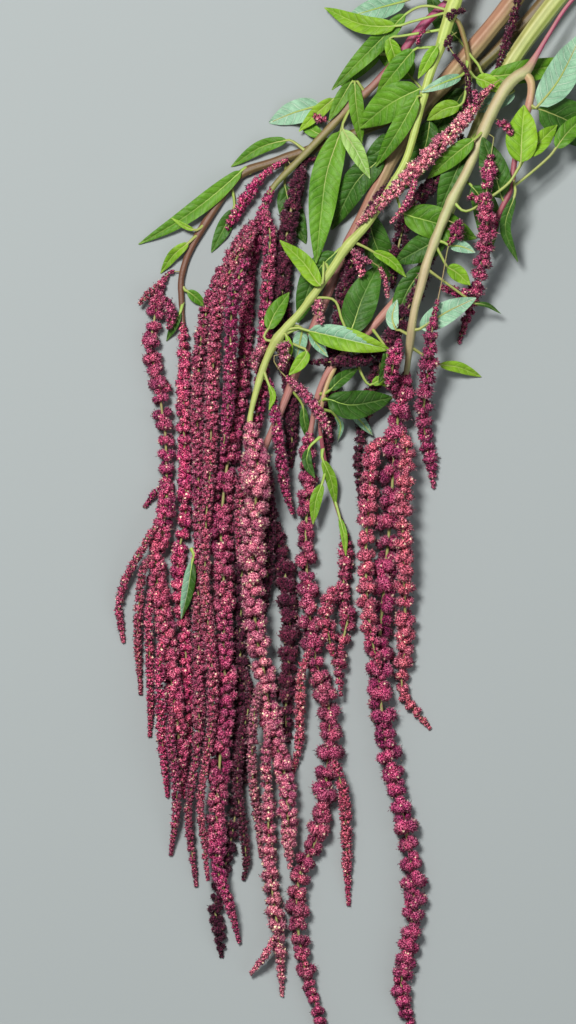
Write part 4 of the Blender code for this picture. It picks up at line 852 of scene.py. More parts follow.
# %% Fine curves
FINE = 0.001             # length between two points of a fine curve
WINDOWS = {"shoot": 8, "head": 6, "leaf": 7}   # points on each side that the average takes in


def unit(rows):
    """The same directions at length one."""
    return rows / np.linalg.norm(rows, axis=-1, keepdims=True)


class Spine:
    """The curve of a settled strand, close enough for fine pieces to follow."""

    def __init__(self, strand, window):
        route, run = strand.facts["route"], strand.facts["run"]
        self.run = np.linspace(0, run[-1], int(run[-1] / FINE) + 2)
        rows = along(route, run, self.run)
        z = np.interp(self.run, strand.at, strand.z)
        window = min(window, len(z) - 2)
        ends = [2 * z[0] - z[window:0:-1], z, 2 * z[-1] - z[-2:-window - 2:-1]]
        z = np.convolve(np.concatenate(ends), np.full(2 * window + 1, 1 / (2 * window + 1)), "valid")
        self.middle = np.column_stack([rows[:, :2] + shift[:2], z])
        self.half = rows[:, 2]
        self.ahead = unit(np.gradient(self.middle, axis=0))
        level = np.zeros(len(self.ahead))
        self.beside = unit(np.column_stack([self.ahead[:, 1], -self.ahead[:, 0], level]))
        self.above = np.cross(self.beside, self.ahead)

    def at(self, where):
        """Middle, beside, above and half width at the given lengths."""
        found = [np.stack([np.interp(where, self.run, c) for c in rows.T], axis=-1)
                 for rows in (self.middle, self.beside, self.above)]
        return *found, np.interp(where, self.run, self.half)

    def closest(self, point):
        """Length at which the curve passes nearest to a point seen from above."""
        return self.run[np.argmin(((self.middle[:, :2] - point[:2]) ** 2).sum(axis=1))]


for strand in settled:
    strand.spine = Spine(strand, WINDOWS[strand.facts["sort"]])
print("length of all the curves:", round(sum(strand.spine.run[-1] for strand in settled), 2), "m")

# %% [markdown]
# ## From skins to pieces
# Every piece is made of many small skins: grids of points joined by triangles. They are gathered in
# one mesh for each piece, because thousands of separate objects would be slow and hard to handle. Each
# point carries a tint, four numbers that tell the material where on the stem, leaf or flower it lies,
# and on a flower also how much painted shade it gets.

# %% Skins and pieces
def grid_faces(rows, columns, closed=True):
    """Triangles that join a grid of points, and join it round where it is closed."""
    i = np.arange(rows - 1)[:, None]
    j = np.arange(columns if closed else columns - 1)[None]
    a, b = i * columns + j, i * columns + (j + 1) % columns
    quads = np.stack([a, b, b + columns, a + columns], axis=-1).reshape(-1, 4)
    return np.vstack([quads[:, :3], quads[:, [0, 2, 3]]])


def tints(*channels):
    """Four numbers for each point, from four arrays or numbers, or from one that fills all four."""
    channels = channels if len(channels) == 4 else 4 * channels
    return np.stack(np.broadcast_arrays(*channels), axis=-1).reshape(-1, 4)


class Gather:
    """Skins of one piece: points, triangles, the material of each triangle and the tint of each point."""

    def __init__(self):
        self.rows = []
        self.count = 0

    def add(self, points, faces, material, tint, normals=None):
        """A skin. Without normals of its own, each point gets those of the triangles round it."""
        points = points.reshape(-1, 3)
        normals = np.zeros(points.shape) if normals is None else normals.reshape(-1, 3)
        self.rows.append((points, faces + self.count, np.full(len(faces), material), tint, normals))
        self.count += len(points)

    def piece(self, name, materials, slot, *nodes):
        """One object that rides on the body and stands for those solids."""
        points, faces, kinds, tinted, normals = (np.concatenate(column) for column in zip(*self.rows))
        mesh = bpy.data.meshes.new(name)
        mesh.vertices.add(len(points))
        mesh.vertices.foreach_set("co", points.astype(np.float32).ravel())
        mesh.loops.add(faces.size)
        mesh.loops.foreach_set("vertex_index", faces.astype(np.int32).ravel())
        mesh.polygons.add(len(faces))
        mesh.polygons.foreach_set("loop_start", np.arange(0, faces.size, 3, dtype=np.int32))
        mesh.polygons.foreach_set("material_index", kinds.astype(np.int32))
        mesh.polygons.foreach_set("use_smooth", np.full(len(faces), True))
        mesh.update(calc_edges=True)
        if normals.any():
            mesh.normals_split_custom_set_from_vertices(normals)
        layer = mesh.color_attributes.new("tint", "FLOAT_COLOR", "POINT")
        layer.data.foreach_set("color", tinted.astype(np.float32).ravel())
        for material in materials:
            mesh.materials.append(material)
        obj = bpy.data.objects.new(name, mesh)
        bpy.context.scene.collection.objects.link(obj)
        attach(obj, "root")
        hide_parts(*nodes)
        print(f"{name}: {len(faces)} triangles")
        return obj


def tube(spine, where, sides, radius, offset=0.0):
    """Points round a curve at the given lengths. radius is a number, or a row for each ring."""
    middle, beside, above, _ = spine.at(where)
    angle = 2 * np.pi * np.arange(sides) / sides
    reach = np.broadcast_to(np.reshape(radius, (-1, 1)) if np.ndim(radius) == 1 else radius,
                            (len(where), sides))[..., None]
    middle = middle + np.reshape(np.broadcast_to(offset, len(where)), (-1, 1)) * above
    return (middle[:, None] + reach * np.cos(angle)[:, None] * beside[:, None]
            - reach * np.sin(angle)[:, None] * above[:, None]), angle


print("a flat grid of 5 by 7 points has", len(grid_faces(5, 7, closed=False)), "triangles")

# %% [markdown]
# ## Materials
# Real stems, leaves and flowers are never one flat colour. The colours could be painted on each piece,
# but then the next stem would have to be painted too. Here a node group for each kind of surface mixes
# them from the tint of each point and from noise, and every material of that kind uses the group.

# %% Node helpers
def linear(text):
    """A hex colour in the linear values that shaders work with."""
    found = []
    for k in (0, 2, 4):
        value = int(text[k:k + 2], 16) / 255
        found.append(value / 12.92 if value < 0.04045 else ((value + 0.055) / 1.055) ** 2.4)
    return (*found, 1.0)


class Number:
    """A number that changes over the surface. Sums and products of it are Math nodes."""

    def __init__(self, board, socket):
        self.board = board
        self.socket = socket

    def __add__(self, other):
        return self.board.math("ADD", self, other)

    def __sub__(self, other):
        return self.board.math("SUBTRACT", self, other)

    def __mul__(self, other):
        return self.board.math("MULTIPLY", self, other)

    def __abs__(self):
        return self.board.math("ABSOLUTE", self)


class Board:
    """A node tree with short calls for the few nodes used here."""

    def __init__(self, tree):
        self.tree = tree

    def node(self, kind, values=(), **settings):
        made = self.tree.nodes.new(kind)
        for key, value in settings.items():
            setattr(made, key, value)
        for key, value in dict(values).items():
            if isinstance(value, Number):
                value = value.socket
            if isinstance(value, bpy.types.NodeSocket):
                self.tree.links.new(value, made.inputs[key])
            else:
                made.inputs[key].default_value = value
        return made

    def math(self, operation, a, b=0.0):
        return Number(self, self.node("ShaderNodeMath", {0: a, 1: b}, operation=operation).outputs[0])

    def between(self, value, low, high):
        """0 at low and 1 at high, smoothly; low may be the larger of the two."""
        made = self.node("ShaderNodeMapRange", {"Value": value, "From Min": low, "From Max": high},
                         interpolation_type="SMOOTHSTEP")
        return Number(self, made.outputs["Result"])

    def mix(self, share, a, b):
        return self.node("ShaderNodeMix", {0: share, 6: a, 7: b}, data_type="RGBA").outputs[2]

    def noise(self, scale, detail=2.0):
        place = self.node("ShaderNodeTexCoord").outputs["Object"]
        made = self.node("ShaderNodeTexNoise", {"Vector": place, "Scale": scale, "Detail": detail})
        return Number(self, made.outputs["Fac"])

    def shaded(self, colour, value, hue=0.5):
        """The colour made lighter or darker by a value round 1, and its hue turned round 0.5."""
        values = {"Hue": hue, "Value": value, "Color": colour}
        return self.node("ShaderNodeHueSaturation", values).outputs[0]

    def finish(self, **outputs):
        """Links what the group puts out, and gives its tree."""
        sockets = self.tree.nodes.new("NodeGroupOutput").inputs
        for key, value in outputs.items():
            self.tree.links.new(getattr(value, "socket", value), sockets[key])
        return self.tree


def group(name, colours, numbers=(), outputs=("Color", "Relief")):
    """An empty node group. Gives its board, its inputs by name, and three numbers of the tint."""
    tree = bpy.data.node_groups.new(name, "ShaderNodeTree")
    for key in ("Tint", *colours):
        tree.interface.new_socket(key, in_out="INPUT", socket_type="NodeSocketColor")
    for key in numbers:
        tree.interface.new_socket(key, in_out="INPUT", socket_type="NodeSocketFloat")
    for key in outputs:
        kind = "NodeSocketColor" if key == "Color" else "NodeSocketFloat"
        tree.interface.new_socket(key, in_out="OUTPUT", socket_type=kind)
    board = Board(tree)
    sockets = tree.nodes.new("NodeGroupInput").outputs
    given = {key: sockets[key] for key in colours}
    given.update({key: Number(board, sockets[key]) for key in numbers})
    parts = board.node("ShaderNodeSeparateColor", {0: sockets["Tint"]}).outputs
    return board, given, [Number(board, part) for part in parts]


SHEEN_ROUGHNESS, SHEEN_TINT = 0.5, (1.0, 0.62, 0.7, 1)
BUMP_STRENGTH = 0.6


def material(name, made_by, inputs, roughness, specular, bump=0.0, fuzz=0.0):
    """A material whose colour comes from a group that reads the tint of each point."""
    found = bpy.data.materials.new(name)
    found.use_nodes = True
    board = Board(found.node_tree)
    shader = found.node_tree.nodes["Principled BSDF"].inputs
    tint = board.node("ShaderNodeVertexColor", layer_name="tint").outputs
    values = {key: linear(value) if isinstance(value, str) else value for key, value in inputs.items()}
    made = board.node("ShaderNodeGroup", {"Tint": tint["Color"], **values}, node_tree=made_by)
    if "Last tint" in made.inputs:
        board.tree.links.new(tint["Alpha"], made.inputs["Last tint"])
    board.tree.links.new(made.outputs["Color"], shader["Base Color"])
    shader["Roughness"].default_value = roughness
    shader["Specular IOR Level"].default_value = specular
    shader["Sheen Weight"].default_value = fuzz
    shader["Sheen Roughness"].default_value = SHEEN_ROUGHNESS
    shader["Sheen Tint"].default_value = SHEEN_TINT
    if bump:
        relief = board.node("ShaderNodeBump", {"Height": made.outputs["Relief"], "Distance": bump,
                                               "Strength": BUMP_STRENGTH})
        board.tree.links.new(relief.outputs[0], shader["Normal"])
    return found


def family(prefix, made_by, columns, rows, *finish, **more):
    """A material for each row, whose columns are inputs of the group."""
    return {name: material(prefix + name, made_by, dict(zip(columns, row)), *finish, **more)
            for name, row in rows.items()}


# %% [markdown]
# ## Flower colours
# A flower of amaranth is a pointed tuft, dark at its foot and lighter at its tip, and here and there a
# dry one is straw-coloured. A picture of real flowers could be wrapped round each ball, but it would
# smear where the ball turns away. The tint says how near the tip a point is, and noise does the rest.
# The tint also carries painted shade: flowers that turn in towards the strand's axis, and balls on the
# underside of a strand, are painted darker, and balls on its top lighter.

# %% Flower colours
FLOWER_SHADES = ("Deep", "Body", "Dusty", "Bright", "Straw")
board, given, (tip, own, ball_tone_and_shade) = group("flower_colour", FLOWER_SHADES, ("Last tint", "Straw share"),
                                       outputs=("Color",))
drift = (board.noise(22.0, 2.0) - 0.5) * 1.6
body = board.mix(given["Last tint"] + drift, given["Dusty"], given["Body"])
grain = board.between(board.noise(1050.0, 1.0), 0.42, 0.60)
# The tip number also holds painted shade, so flowers that turn inwards reach the pale colours less.
level = tip * 0.34 + grain * 0.55
colour = board.mix(board.between(level, 0.10, 0.64), given["Deep"], body)
# The Bright colour is partly the flowers' pale tips and partly painted highlight on the tips that face
# outwards.
bright = board.between(level, 0.46, 0.90) * board.between(own, -0.1, 0.8)
colour = board.mix(bright, colour, given["Bright"])
dry = board.math("GREATER_THAN", own, board.math("SUBTRACT", 1.0, given["Straw share"]))
colour = board.mix(dry * board.between(tip, 0.1, 0.8), colour, given["Straw"])
# The third number of the tint, a ball's own tone together with painted light and shade, sets the value and
# turns the hue.
flower_colour = board.finish(Color=board.shaded(colour, ball_tone_and_shade * 1.1 + 0.67, ball_tone_and_shade * 0.024 + 0.488))

FLOWERS = {
    "crimson": ("2C0214", "AE1464", "B24E62", "F29CB2", "E6CCB0", 0.05),
    # The dark row is a darker copy of the crimson: painted shade for the heads that lie in shadow among the
    # others.
    "dark": ("10010A", "440A26", "4C1C2E", "843A58", "7C6450", 0.03),
    "pink": ("501030", "BA3E70", "C87680", "F6B8C2", "EEDCB4", 0.12),
}
flower = family("flower_", flower_colour, (*FLOWER_SHADES, "Straw share"), FLOWERS, 0.8, 0.15, fuzz=0.18)
print("flower materials:", *flower)

# %% [markdown]
# ## Stem colours
# A stem is green or olive with paler ribs, and blushes pink on the side that had the sun. Some turn
# brown or magenta towards the seed head. The tint holds the rib, the side and the place along the
# stem, so that one group serves every stem, the leaf stalks and the axes of the seed heads.

# %% Stem colours
STEM_SHADES = ("Base", "Rib", "Far", "Blush")
STEM_NUMBERS = ("Far from", "Far to", "Blush share")
board, given, (rib, side, place) = group("stem_colour", STEM_SHADES, STEM_NUMBERS)
rough = board.noise(14.0, 2.0)
colour = board.mix(board.between(rib, 0.2, 0.9) * 0.55, given["Base"], given["Rib"])
place = place + (rough - 0.5) * 0.15
colour = board.mix(board.between(place, given["Far from"], given["Far to"]), colour, given["Far"])
patch = board.between(rough + side * 0.5, 0.55, 0.95)
colour = board.mix(patch * given["Blush share"], colour, given["Blush"])
value = board.noise(90.0, 3.0) * 0.4 + 0.76 + rib * 0.10
stem_colour = board.finish(Color=board.shaded(colour, value), Relief=board.noise(700.0, 2.0))

STEMS = {
    "dark": ("5B5A33", "77713F", "6A4A38", "6B4334", 0.6, 0.9, 0.5),
    "olive": ("8C7F55", "A4966A", "A0716A", "A0625A", 0.5, 0.8, 0.6),
    "ribbed": ("93A452", "BCC682", "A8756C", "A8706A", 0.66, 0.84, 0.25),
    "red": ("93305A", "B05078", "7C8A44", "7A2848", 0.55, 0.95, 0.35),
    "front": ("9AB050", "B8C872", "A2B462", "A9A462", 0.5, 0.9, 0.35),
    "arched": ("93385A", "B0607A", "A6AC76", "B08478", 0.43, 0.48, 0.45),
    "leg": ("B4A26C", "C2B080", "8A4450", "A9636A", 0.05, 0.5, 0.4),
    "thread": ("7E7A44", "958C56", "8A5448", "8A4A48", 0.5, 0.9, 0.5),
    "stalk": ("8DB048", "A9C566", "98A850", "A4606A", 0.5, 0.9, 0.35),
    "rachis": ("8F9656", "A8AC70", "9A7A5E", "9A5E60", 0.4, 0.9, 0.5),
}
bark = family("stem_", stem_colour, (*STEM_SHADES, *STEM_NUMBERS), STEMS, 0.5, 0.4, 0.0004)

board, given, (rim, _, _) = group("pith_colour", ("Rim", "Pith"))
colour = board.mix(board.between(rim, 0.75, 0.95), given["Pith"], given["Rim"])
pith_colour = board.finish(Color=colour, Relief=board.noise(900.0, 2.0))
pith = material("cut_end", pith_colour, {"Rim": "7E8F45", "Pith": "D9DDB4"}, 0.75, 0.2, 0.0005)
print("stem materials:", *bark, "cut_end")

# %% [markdown]
# ## Leaf colours
# A leaf has a pale middle rib, side veins that fork off it and a fine net between them, and the flesh
# between the veins is patchy. The veins could be modelled, but that would take many more points. The
# tint carries a number that grows evenly from one side vein to the next, so the group can draw them.

# %% Leaf colours
VEIN_COUNT = 20          # side veins after which the tint's second number starts again
LEAF_SHADES = ("Blade", "Between", "Vein")
board, given, (across, phase, _) = group("leaf_colour", LEAF_SHADES, ("Vein strength",))
aside = abs(across - 0.5)
wander = (board.noise(110.0, 1.0) - 0.5) * 0.5
off = abs(board.math("FRACT", phase * VEIN_COUNT + wander) - 0.5)
vein = board.between(off, 0.43, 0.49) * board.between(aside, 0.40, 0.15)
place = board.node("ShaderNodeTexCoord").outputs["Object"]
net = board.node("ShaderNodeTexVoronoi", {"Scale": 420.0, "Vector": place}, feature="DISTANCE_TO_EDGE")
net = board.between(net.outputs["Distance"], 0.12, 0.0)
lines = board.math("MAXIMUM", board.between(aside, 0.024, 0.010), vein)
lines = board.math("MAXIMUM", lines, net * 0.22) * given["Vein strength"]
# Painted light and shade on the quilting: the flesh is lighter in the middle between two side veins, where
# the blade bulges, and darker beside them.
quilt_light_and_shade = board.between(off, 0.44, 0.10) * board.between(aside, 0.0, 0.15)
colour = board.mix(board.between(board.noise(26.0, 3.0), 0.35, 0.7), given["Blade"], given["Between"])
colour = board.mix(quilt_light_and_shade * 0.4, colour, given["Between"])
colour = board.mix(lines, colour, given["Vein"])
value = board.noise(17.0, 1.0) * 0.6 + 0.42 + board.noise(170.0, 3.0) * 0.36 + quilt_light_and_shade * 0.12
leaf_colour = board.finish(Color=board.shaded(colour, value), Relief=board.noise(260.0, 2.0) * 1.6 - lines)

LEAVES = {
    "dark": ("284E14", "3C6A1E", "88A65E", 0.34),
    "mid": ("3E7014", "5E8E22", "A6BE68", 0.34),
    "bright": ("5E8E14", "80A826", "BAD070", 0.38),
    "pale": ("7AA448", "98BA66", "C8DAA2", 0.5),
    "mint": ("6E9C7C", "8CB496", "CADCC6", 0.6),
    "under": ("86A86C", "9CBA80", "C8D9AC", 0.5),
}
blade = family("leaf_", leaf_colour, (*LEAF_SHADES, "Vein strength"), LEAVES, 0.5, 0.22, 0.0008)
print("leaf materials:", *blade)

# %% [markdown]
# ## Stems
# An amaranth stem is ribbed lengthwise, swells a little where each leaf or side stem springs from it,
# and shows pale pith where it was cut. A curve with a bevel would be quicker, but its skin is smooth. A
# tube of rings with a rippled radius gives the ribs and the knots at once, and a cap gives the pith.

# %% A stem
STEM_STEP = 0.004        # length between two rings of a fine stem
STEM_FACET = 0.0011      # width of one side of a ring
FEWEST_SIDES, MOST_SIDES = 12, 36
INTO_HEAD = 0.008        # how far a stem runs on inside its seed head
RIB_MIDDLE, RIB_HEIGHT = 0.955, 0.035   # of the ribs, as shares of the stem's half width
KNOT_HEIGHT, KNOT_REACH = 0.10, 0.005   # the first as such a share, the second along the stem
UNEVEN, UNEVEN_WAVES = 0.03, (120, 47)   # slow swelling as such a share, and its waves along the stem
TWIST = 4.0              # how fast the ribs wind round the stem
ARCH_HOOK = (0.41, 0.48)   # where along the arched stem its thin upper part ends and its hook begins
ARCH_NARROW = (0.6, 1.0)   # width there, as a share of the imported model's
CUT_RINGS = [(1.0, 0.0), (0.95, 0.0003), (0.82, 0.0002), (0.5, -0.0004), (0.12, -0.0008)]


def stem_skin(gather, strand, knots, kinds, random):
    """One stem with its ribs and knots, and a cut end where it has no parent."""
    facts, spine = strand.facts, strand.spine
    end = facts["joint"] + INTO_HEAD
    where = even(0, end, STEM_STEP)
    _, _, _, half = spine.at(where)
    half = np.where(where > facts["joint"], half[where <= facts["joint"]][-1], half)
    if facts["name"] == "arch":
        half = half * np.interp(where / end, ARCH_HOOK, ARCH_NARROW)
    sides = int(np.clip(2 * np.pi * half.max() / STEM_FACET, FEWEST_SIDES, MOST_SIDES))
    ribs = sides // 4
    angle = 2 * np.pi * np.arange(sides) / sides
    turn = TWIST * where[:, None] + random.uniform(0, 6)
    rib = np.cos(ribs * angle + turn * 0.8)
    bumps = sum(KNOT_HEIGHT * np.exp(-((where - knot) / KNOT_REACH) ** 2) for knot in knots)
    slow, slower = (np.sin(where * wave + random.uniform(0, 6)) for wave in UNEVEN_WAVES)
    bumps = bumps + UNEVEN * slow * slower
    radius = half[:, None] * (RIB_MIDDLE + RIB_HEIGHT * rib + bumps[:, None])
    points, _ = tube(spine, where, sides, radius)
    tint = tints(0.5 + 0.5 * rib, 0.5 + 0.5 * np.cos(angle), (where / end)[:, None],
                 0.5 + 0.5 * np.sin(angle))
    gather.add(points, grid_faces(len(where), sides), kinds["bark"], tint)
    if facts["parent"] is None:
        cut_end(gather, points[0], points[0] - points[1], kinds["pith"])


def cut_end(gather, rim, out, kind):
    """The cut face of a stem: a rounded edge and a slightly hollow pith."""
    middle = rim.mean(axis=0)
    out = out.mean(axis=0) / np.linalg.norm(out.mean(axis=0))
    points = np.array([middle + share * (rim - middle) + rise * out for share, rise in CUT_RINGS])
    last = (len(CUT_RINGS) - 1) * len(rim)
    fan = np.array([(last, last + k + 1, last + k) for k in range(1, len(rim) - 1)])
    faces = np.vstack([grid_faces(len(CUT_RINGS), len(rim))[:, ::-1], fan])
    gather.add(points, faces, kind, tints(np.repeat([share for share, _ in CUT_RINGS], len(rim))))


def child_knots(strand):
    """Lengths at which leaves and side strands spring from a stem."""
    return [strand.spine.closest(other.spine.middle[0]) for other in settled
            if other.facts["parent"] == strand.facts["name"]]


knots = sum(len(child_knots(strand)) for strand in settled if strand.facts["sort"] == "shoot")
print("knots on all the stems:", knots)

# %% [markdown]
# ## Leaves
# A leaf is a thin folded sheet on a round stalk. The blade swells and narrows, arches over what lies
# under it, and is quilted between the side veins. A flat sheet with a picture on it would look like
# paper, so the blade is a grid of points bent by a few formulas. Its two faces are built apart, half a
# millimetre from each other, so that the pale underside can have a colour of its own.

# %% The sheet of a leaf
COLUMNS = np.array([-1, -0.84, -0.66, -0.48, -0.31, -0.16, -0.06, 0, 0.06, 0.16, 0.31, 0.48, 0.66, 0.84, 1])
LEAF_ROW = 0.0018        # length between two rows of points on a blade
BLADE_SPAN = 0.04        # width that the tint's first number spans, in metres
VEIN_PITCH = 0.0075      # length between two side veins
VEIN_SLANT = 0.62        # how far a side vein runs forwards, as a share of the way outwards
VEIN_SHIFT = 0.35        # how far the left side's veins are from the right side's, in pitches
QUILT = 0.0009           # height of the quilting between them
WIDE_LEAF = 0.03         # a narrower leaf is quilted less
FINE_WAVE, RIPPLE, ARCH = 0.10, 0.13, 0.05   # heights, as shares of the half width


def blade_points(strand, random):
    """The middle sheet of a blade as a grid, the direction out of it, and the tint of each point."""
    facts, spine = strand.facts, strand.spine
    length, width, fold = (facts[key] for key in ("length", "width", "fold"))
    t = even(0, 1, LEAF_ROW / length)
    middle, beside, above, _ = spine.at(facts["neck"] + t * length)
    base = np.clip(t / 0.05, 0, 1)
    half = 0.5 * width * swell_at(t) * (0.3 + 0.7 * base * base * (3 - 2 * base))
    v, t = COLUMNS[None], t[:, None]
    half = half[:, None]
    reach = half * math.cos(math.radians(fold)) * v
    phase = length / VEIN_PITCH * (t - VEIN_SLANT * np.abs(v) * half / length * (1 + 0.5 * v * v)) + 10.0
    side = np.where(v < 0, VEIN_SHIFT, 0.0)
    quilt = QUILT * np.abs(np.sin(np.pi * (phase + side)))
    quilt *= np.clip(1.15 - v ** 4, 0, 1) * np.clip(np.abs(v) / 0.2, 0, 1) * min(1, width / WIDE_LEAF)
    if facts["tone"] == "mint":
        quilt = -quilt
    wave = FINE_WAVE * half * np.sin(WAVES * np.pi * t + length * WAVE_SHIFT)
    ripple = RIPPLE * half * np.abs(v) ** 2.5 * np.sin(2 * np.pi * (2.6 * t + random.uniform() + 0.3 * v))
    rise = half * math.sin(math.radians(fold)) * np.abs(v) ** 1.15
    arch = ARCH * half * np.sin(np.pi * np.abs(v))
    up = rise - wave * v + quilt + ripple + arch
    points = middle[:, None] + reach[..., None] * beside[:, None] + up[..., None] * above[:, None]
    out = np.cross(np.gradient(points, axis=1), np.gradient(points, axis=0))
    tint = tints(0.5 + reach / BLADE_SPAN, (phase + side) / VEIN_COUNT % 1.0, t, np.abs(v))
    return points, unit(out + 1e-12), tint


# %% A whole leaf
LEAF_THICK = 0.0005
HALVES = {"split": (-1, 0.85, "bright"), "flank": (1, 2.0, "dark")}   # leaves with one side turned over
STALK_SIDES = 8
STALK_STEP = 0.0035      # length between two rings of a stalk
STALK_HALF, FOOT_SWELL, FOOT_REACH = 0.0011, 0.0007, 0.004
RIB_FROM, RIB_TO, RIB_END = 0.00085, 0.0002, 0.93   # half widths of the middle rib, and where it ends
RIB_OVER, RIB_UNDER = 0.00015, -0.00035   # its height on a leaf seen from below, and from above


def leaf_skin(gather, strand, kinds, random):
    """One leaf: a stalk that runs on as the middle rib, and a blade with two faces and an edge."""
    facts, spine = strand.facts, strand.spine
    tone = facts["tone"]
    points, out, tint = blade_points(strand, random)
    rows, columns = points.shape[:2]
    faces = grid_faces(rows, columns, closed=False)
    face_kind = kinds.get(tone)
    if tone in HALVES:
        side, share, rest = HALVES[tone]
        row, column = np.divmod(np.arange((rows - 1) * (columns - 1)), columns - 1)
        across = (column - columns / 2 + 1) / (columns / 2)
        silvery = (side * across > 0) & (row / rows < share - 0.5 * np.abs(across))
        face_kind = np.tile(np.where(silvery, kinds["mint"], kinds[rest]), 2)
    thick = 0.5 * LEAF_THICK * np.clip(1.15 - COLUMNS ** 6, 0.3, 1)[None, :, None]
    top, bottom = points + thick * out, points - thick * out
    gather.add(top, faces, face_kind, tint)
    gather.add(bottom, faces[:, ::-1], kinds["bright" if tone == "mint" else "under"], tint)
    rim = [*range(columns), *range(2 * columns - 1, rows * columns, columns),
           *range(rows * columns - 2, (rows - 1) * columns - 1, -1),
           *range((rows - 2) * columns, 0, -columns)]
    edge = np.stack([bottom.reshape(-1, 3)[rim], top.reshape(-1, 3)[rim]])
    gather.add(edge, grid_faces(2, len(rim)), kinds.get(tone, kinds["bright"]), np.tile(tint[rim], (2, 1)))

    where = even(0, facts["neck"] + RIB_END * facts["length"], STALK_STEP)
    share = np.clip((where - facts["neck"]) / facts["length"], 0, 1)
    radius = np.where(share > 0, RIB_FROM * (1 - share) + RIB_TO, STALK_HALF)
    radius = radius + FOOT_SWELL * np.exp(-where / FOOT_REACH)
    height = (RIB_OVER if tone == "mint" else RIB_UNDER) * np.clip(share * 8, 0, 1)
    points, angle = tube(spine, where, STALK_SIDES, radius, height)
    shade = 0.5 + 0.5 * np.cos(3 * angle)
    gather.add(points, grid_faces(len(where), STALK_SIDES), kinds["stalk"],
               tints(shade, shade, share[:, None], shade))


# %% Stems and leaves of each leafy stem
STEM_KIND = {"dark": "dark", "thick": "olive", "ribbed": "ribbed", "red": "red", "front": "front",
             "arch": "arched", "wisp": "leg", "leg": "leg", "thread": "thread"}
STEM_SEED = 100
leaf_kinds = {name: k for k, name in enumerate([*blade, "stalk"])}
leafy = sorted({node for strand in settled for node in strand.nodes if node.startswith("lea")})
for number, node in enumerate(leafy):
    random = np.random.default_rng(STEM_SEED + number)
    own_shoots = [s for s in settled if s.facts["sort"] == "shoot" and s.nodes[0] == node]
    own_leaves = [s for s in settled if s.facts["sort"] == "leaf" and s.nodes[0] == node]
    if own_shoots:
        kinds = [STEM_KIND[s.facts["name"]] for s in own_shoots]
        gather = Gather()
        for strand, kind in zip(own_shoots, kinds):
            stem_skin(gather, strand, child_knots(strand), {"bark": kinds.index(kind), "pith": len(kinds)},
                      random)
        gather.piece(node.replace("leafy_stem", "stems"), [*(bark[k] for k in kinds), pith], slot_of[node],
                     node)
    gather = Gather()
    for strand in own_leaves:
        leaf_skin(gather, strand, leaf_kinds, random)
    gather.piece(node.replace("leafy_stem", "leaves") if own_shoots else "loose_leaf",
                 [*blade.values(), bark["stalk"]], "loose_leaf", node)

# %% [markdown]
# ## Seed heads
# A tassel of hanging amaranth is a thin green axis with whorls of small round clusters, and each
# cluster is a ball of tiny pointed flowers. It is built the same way: the axis is a tube, the balls
# are strung along it, and every ball gets a dark core and a coat of small cones, one for each flower,
# with a fine hair beside it. Hair particles would give a softer coat, but an export can't keep them.

# %% Where the balls sit
BEAD = 1.45              # length of a bead, as a share of the head's half width there
SHORTEST_BEAD, SHORTEST_WHORL = 0.0035, 0.0018
BEAD_BALLS, NECK_BALLS = (0.52, 0.52), (0.42, 0.36)   # ball radius and distance out in each kind of
THIN_BALLS, FULL_BALLS = (0.50, 0.50), (0.42, 0.58)   # whorl, as shares of the head's half width
THIRD_WHORL = 0.6        # share of the beads that have a third whorl
THIN_WHORL, THIN_BEAD = 0.0052, 0.0045   # half widths below which a whorl has fewer balls
FIRST_WHORL, LAST_WHORL = 0.002, 0.001   # lengths left free at the start and the end of a head
LUMPY, LUMPS = 0.009, (0.08, 0.14)   # half width above which a head is lumpier, and how lumpy it is
LUMP_LENGTH, SHORTEST_LUMP = 2.4, 0.01   # the first in half widths
MISSING = 0.06           # share of the balls that are left out
BARE_HALF = 0.0021       # a strand that starts thinner than this has a bare stalk first
BARE_SHARE = 0.35        # the longest such stalk, as a share of the head
SMALLEST_BALL = 0.0011


def whorls_at(s, half, beads, random):
    """Whorls that start at a length: (place, ball radius, distance out, balls), and the next length."""
    if beads:
        bead = BEAD * half * random.uniform(0.85, 1.15)
        found = [(s + 0.5 * bead, *BEAD_BALLS, 5 if half > THIN_BEAD else 4)]
        found.append((s + random.uniform(0.0, 0.2) * bead, *NECK_BALLS, random.integers(1, 4)))
        if random.random() < THIRD_WHORL:
            found.append((s + random.uniform(0.8, 0.95) * bead, *NECK_BALLS, 2))
        return found, s + max(bead, SHORTEST_BEAD)
    if half < THIN_WHORL:
        step = max(0.85 * half, SHORTEST_WHORL) * random.uniform(0.9, 1.1)
        return [(s + 0.4 * half, *THIN_BALLS, 4)], s + step
    return [(s + 0.3 * half, *FULL_BALLS, 5)], s + 0.60 * half * random.uniform(0.9, 1.1)


